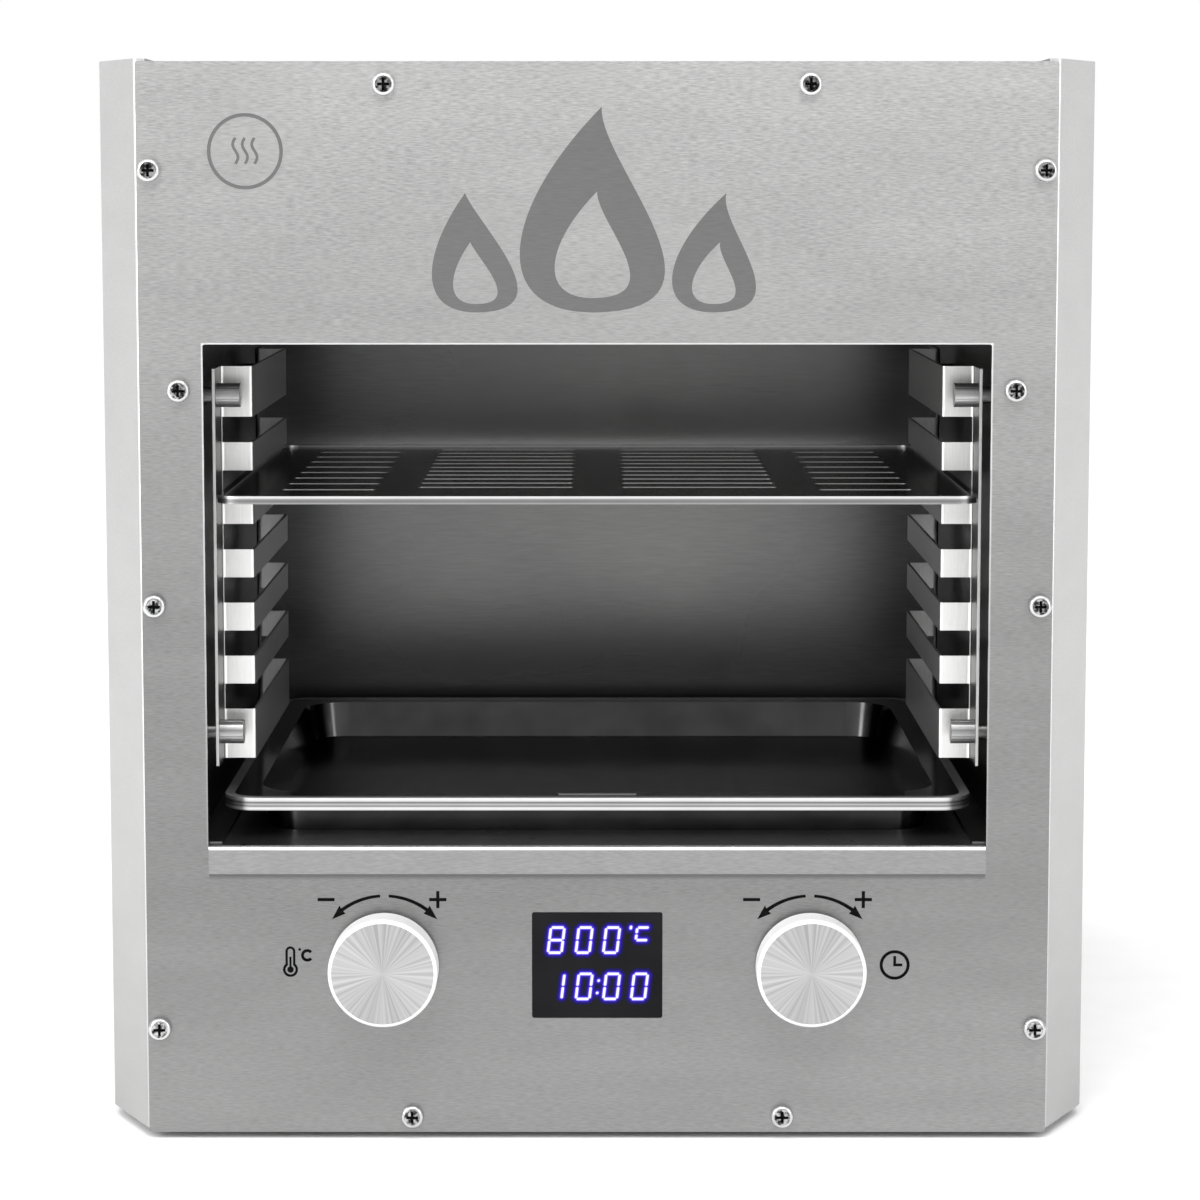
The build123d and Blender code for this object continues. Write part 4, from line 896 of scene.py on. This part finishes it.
def turned(name, profile, material, centre, body, steps=128):
    """A piece of revolution about Y; the profile is radius and reach towards the front, in millimetres."""
    vertices, faces = [], []
    for radius, reach in profile:
        for i in range(steps):
            t = 2 * math.pi * i / steps
            vertices.append((radius * MM * math.sin(t), -reach * MM, radius * MM * math.cos(t)))
    for k in range(len(profile) - 1):
        for i in range(steps):
            j = (i + 1) % steps
            faces.append((k * steps + i, k * steps + j, (k + 1) * steps + j, (k + 1) * steps + i))
    made = piece(name, vertices, faces, material, body)
    made.location = centre
    for polygon in made.data.polygons:
        polygon.use_smooth = True
    return made


def satin_edge():
    """The knob's satin side and its chamfer."""
    shader = Shader("knob_edge", grey(0.96), 0.4, 0.3)
    grain = shader.noise(300, 2.0, (1, 0.1, 1))
    shader.paint(shader.ramp(grain, (0.3, grey(0.92)), (0.7, grey(0.98))))
    shader.rough(shader.range(grain, 0.3, 0.7, 0.35, 0.45))
    return shader.material


KNOB_EDGE = satin_edge()
CHAMFER, BORE, BORE_DEEP = 1.5, 9.5, 7.0
SHAFT = 3.0
for side in ("temp", "timer"):
    low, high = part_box(side + "_knob")
    middle = (low + high) / 2
    radius = (high.x - low.x) / 2 / MM
    tall = (high.y - low.y) / MM
    back = (middle.x, high.y, middle.z)
    face = [(0.02, tall), (radius * 0.3, tall), (radius * 0.7, tall), (radius - CHAMFER, tall)]
    skirt = [
        (radius - CHAMFER, tall), (radius - 1.3, tall - 0.05), (radius - 0.15, tall - 1.15),
        (radius, tall - CHAMFER), (radius, tall - 1.6),
        (radius, 0.45), (radius - 0.3, 0.1), (radius - 0.6, 0.0),
        (BORE, 0.0), (BORE, BORE_DEEP), (SHAFT, BORE_DEEP),
    ]
    disc = turned(side + "_knob_face", face, spun(side + "_spun_aluminium"), back, side + "_dial")
    body = turned(side + "_knob_body", skirt, KNOB_EDGE, back, side + "_dial")
    body.data.set_sharp_from_angle(angle=math.radians(25))
    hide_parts(side + "_knob")


# ---------------------------------------------------------------- heating coil

COIL_RADIUS, WIRE_RADIUS, WINDING = 3.2 * MM, 0.55 * MM, 2.65 * MM
COIL_RUNS, COIL_PITCH = 11, 2.6 * MM
STEPS_A_TURN = 10


def coil_route():
    """Points along the serpentine that the coil's tube follows."""
    low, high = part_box("heating_coil")
    axis_z = low.z + COIL_RADIUS
    first, last = low.y + COIL_RADIUS, high.y - COIL_RADIUS
    half = (high.x - low.x) / 2 - COIL_RADIUS
    pitch = (last - first) / (COIL_RUNS - 1)
    straight = half - pitch / 2
    route = []
    for run in range(COIL_RUNS):
        way = 1 if run % 2 == 0 else -1
        y = first + run * pitch
        route += [Vector((way * straight * (2 * i / 40 - 1), y, axis_z)) for i in range(41)]
        if run < COIL_RUNS - 1:
            for i in range(1, 12):
                t = math.pi * i / 12
                x = way * (straight + pitch / 2 * math.sin(t))
                route.append(Vector((x, y + pitch / 2 * (1 - math.cos(t)), axis_z)))
    return route


def wound_coil():
    """The resistance wire wound along the coil's route."""
    route = coil_route()
    lengths = [0.0]
    for a, b in zip(route, route[1:]):
        lengths.append(lengths[-1] + (b - a).length)
    turns = int(lengths[-1] / COIL_PITCH)
    curve = bpy.data.curves.new("heating_coil_wire", "CURVE")
    curve.dimensions = "3D"
    curve.bevel_depth = WIRE_RADIUS
    curve.bevel_resolution = 1
    spline = curve.splines.new("POLY")
    steps = turns * STEPS_A_TURN
    spline.points.add(steps)
    k = 0
    for i in range(steps + 1):
        place = lengths[-1] * i / steps
        while k < len(lengths) - 2 and lengths[k + 1] < place:
            k += 1
        a, b = route[k], route[k + 1]
        along = (b - a).normalized()
        centre = a.lerp(b, (place - lengths[k]) / max(lengths[k + 1] - lengths[k], 1e-9))
        across = Vector((-along.y, along.x, 0))
        t = 2 * math.pi * i / STEPS_A_TURN
        point = centre + across * WINDING * math.cos(t) + Vector((0, 0, 1)) * WINDING * math.sin(t)
        spline.points[i].co = (*point, 1)
    mesh = mesh_of(curve)
    made = bpy.data.objects.new("heating_coil_wire", mesh)
    bpy.context.scene.collection.objects.link(made)
    mesh.materials.clear()
    mesh.materials.append(nodes["heating_coil"].material_slots[0].material)
    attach(made, "chassis")
    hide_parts("heating_coil")


wound_coil()


# ---------------------------------------------------------------- floor, light and camera

def studio():
    """A white paper floor, and a world that lights from above and from both sides but shows white."""
    floor = bpy.data.meshes.new("studio_floor")
    floor.from_pydata([(-30, -30, 0), (30, -30, 0), (30, 30, 0), (-30, 30, 0)], [], [(0, 1, 2, 3)])
    stage = bpy.data.objects.new("studio_floor", floor)
    bpy.context.scene.collection.objects.link(stage)
    shader = Shader("studio_paper", grey(0.95), 1.0, 0.0, Specular_IOR_Level=0.0)
    tooth = shader.noise(40, 2.0)
    shader.paint(shader.ramp(tooth, (0.3, grey(0.94)), (0.7, grey(0.96))))
    floor.materials.append(shader.material)

    world = bpy.data.worlds.new("studio")
    bpy.context.scene.world = world
    world.use_nodes = True
    tree = world.node_tree
    background = tree.nodes["Background"]

    def node(kind, **settings):
        made = tree.nodes.new("ShaderNode" + kind)
        for key, value in settings.items():
            setattr(made, key, value)
        return made

    def ramp(source, *stops):
        made = node("ValToRGB")
        elements = made.color_ramp.elements
        while len(elements) < len(stops):
            elements.new(0.5)
        for element, (place, value) in zip(elements, stops):
            element.position = place
            element.color = (value, value, value, 1.0)
        tree.links.new(source, made.inputs["Fac"])
        return made.outputs["Color"]

    direction = node("TexCoord")
    parts = node("SeparateXYZ")
    tree.links.new(direction.outputs["Generated"], parts.inputs["Vector"])
    half = {}
    for axis in "XYZ":
        shifted = node("MapRange")
        for socket, number in zip(("From Min", "From Max", "To Min", "To Max"), (-1, 1, 0, 1)):
            shifted.inputs[socket].default_value = number
        tree.links.new(parts.outputs[axis], shifted.inputs["Value"])
        half[axis] = shifted.outputs["Result"]
    rise = ramp(half["Z"], (0.0, 0.5), (0.5, 0.62), (0.62, 0.85), (0.8, 1.3), (1.0, 1.5))
    sides = ramp(
        half["X"],
        (0.0, 1.0), (0.25, 1.05), (0.42, 0.7), (0.5, 0.62), (0.58, 0.7), (0.75, 0.95), (1.0, 0.9),
    )
    product = node("Mix", data_type="RGBA", blend_type="MULTIPLY")
    product.inputs["Factor"].default_value = 1.0
    tree.links.new(rise, product.inputs[6])
    tree.links.new(sides, product.inputs[7])
    backdrop = node("LightPath")
    shown = node("Mix", data_type="RGBA")
    tree.links.new(backdrop.outputs["Is Camera Ray"], shown.inputs["Factor"])
    tree.links.new(product.outputs[2], shown.inputs[6])
    shown.inputs[7].default_value = (1.0, 1.0, 1.0, 1.0)
    tree.links.new(shown.outputs[2], background.inputs["Color"])
    background.inputs["Strength"].default_value = 1.0


def softbox(name, place, target, wide, high, power):
    """A rectangular lamp at a place, aimed at a target."""
    lamp = bpy.data.lights.new(name, "AREA")
    lamp.shape = "RECTANGLE"
    lamp.size, lamp.size_y, lamp.energy = wide, high, power
    made = bpy.data.objects.new(name, lamp)
    made.location = place
    made.rotation_euler = (Vector(target) - Vector(place)).to_track_quat("-Z", "Y").to_euler()
    bpy.context.scene.collection.objects.link(made)


studio()
softbox("left_softbox", (-1.5, -1.3, 0.9), (0, 0, 0.25), 0.9, 1.4, 20)
softbox("right_softbox", (1.6, -1.4, 0.8), (0, 0, 0.25), 0.7, 1.2, 9)
softbox("top_softbox", (0.0, -1.2, 2.0), (0, -0.1, 0.3), 1.8, 0.9, 22)

CAMERA_ASIDE, CAMERA_AHEAD, CAMERA_HEIGHT = 0.0012, 1.310, 0.4099
TILT = 5.5
SENSOR, FOCAL_LENGTH, SHIFT = 36, 93.2, -0.0955
camera = bpy.data.cameras.new("camera")
camera.sensor_width = SENSOR
camera.lens = FOCAL_LENGTH
camera.shift_y = SHIFT
camera.clip_end = 100
holder = bpy.data.objects.new("camera", camera)
holder.location = (CAMERA_ASIDE, FACE_Y - CAMERA_AHEAD, CAMERA_HEIGHT)
holder.rotation_euler = (math.radians(90 - TILT), 0, 0)
bpy.context.scene.collection.objects.link(holder)
bpy.context.scene.camera = holder
bpy.context.scene.view_settings.view_transform = "Standard"
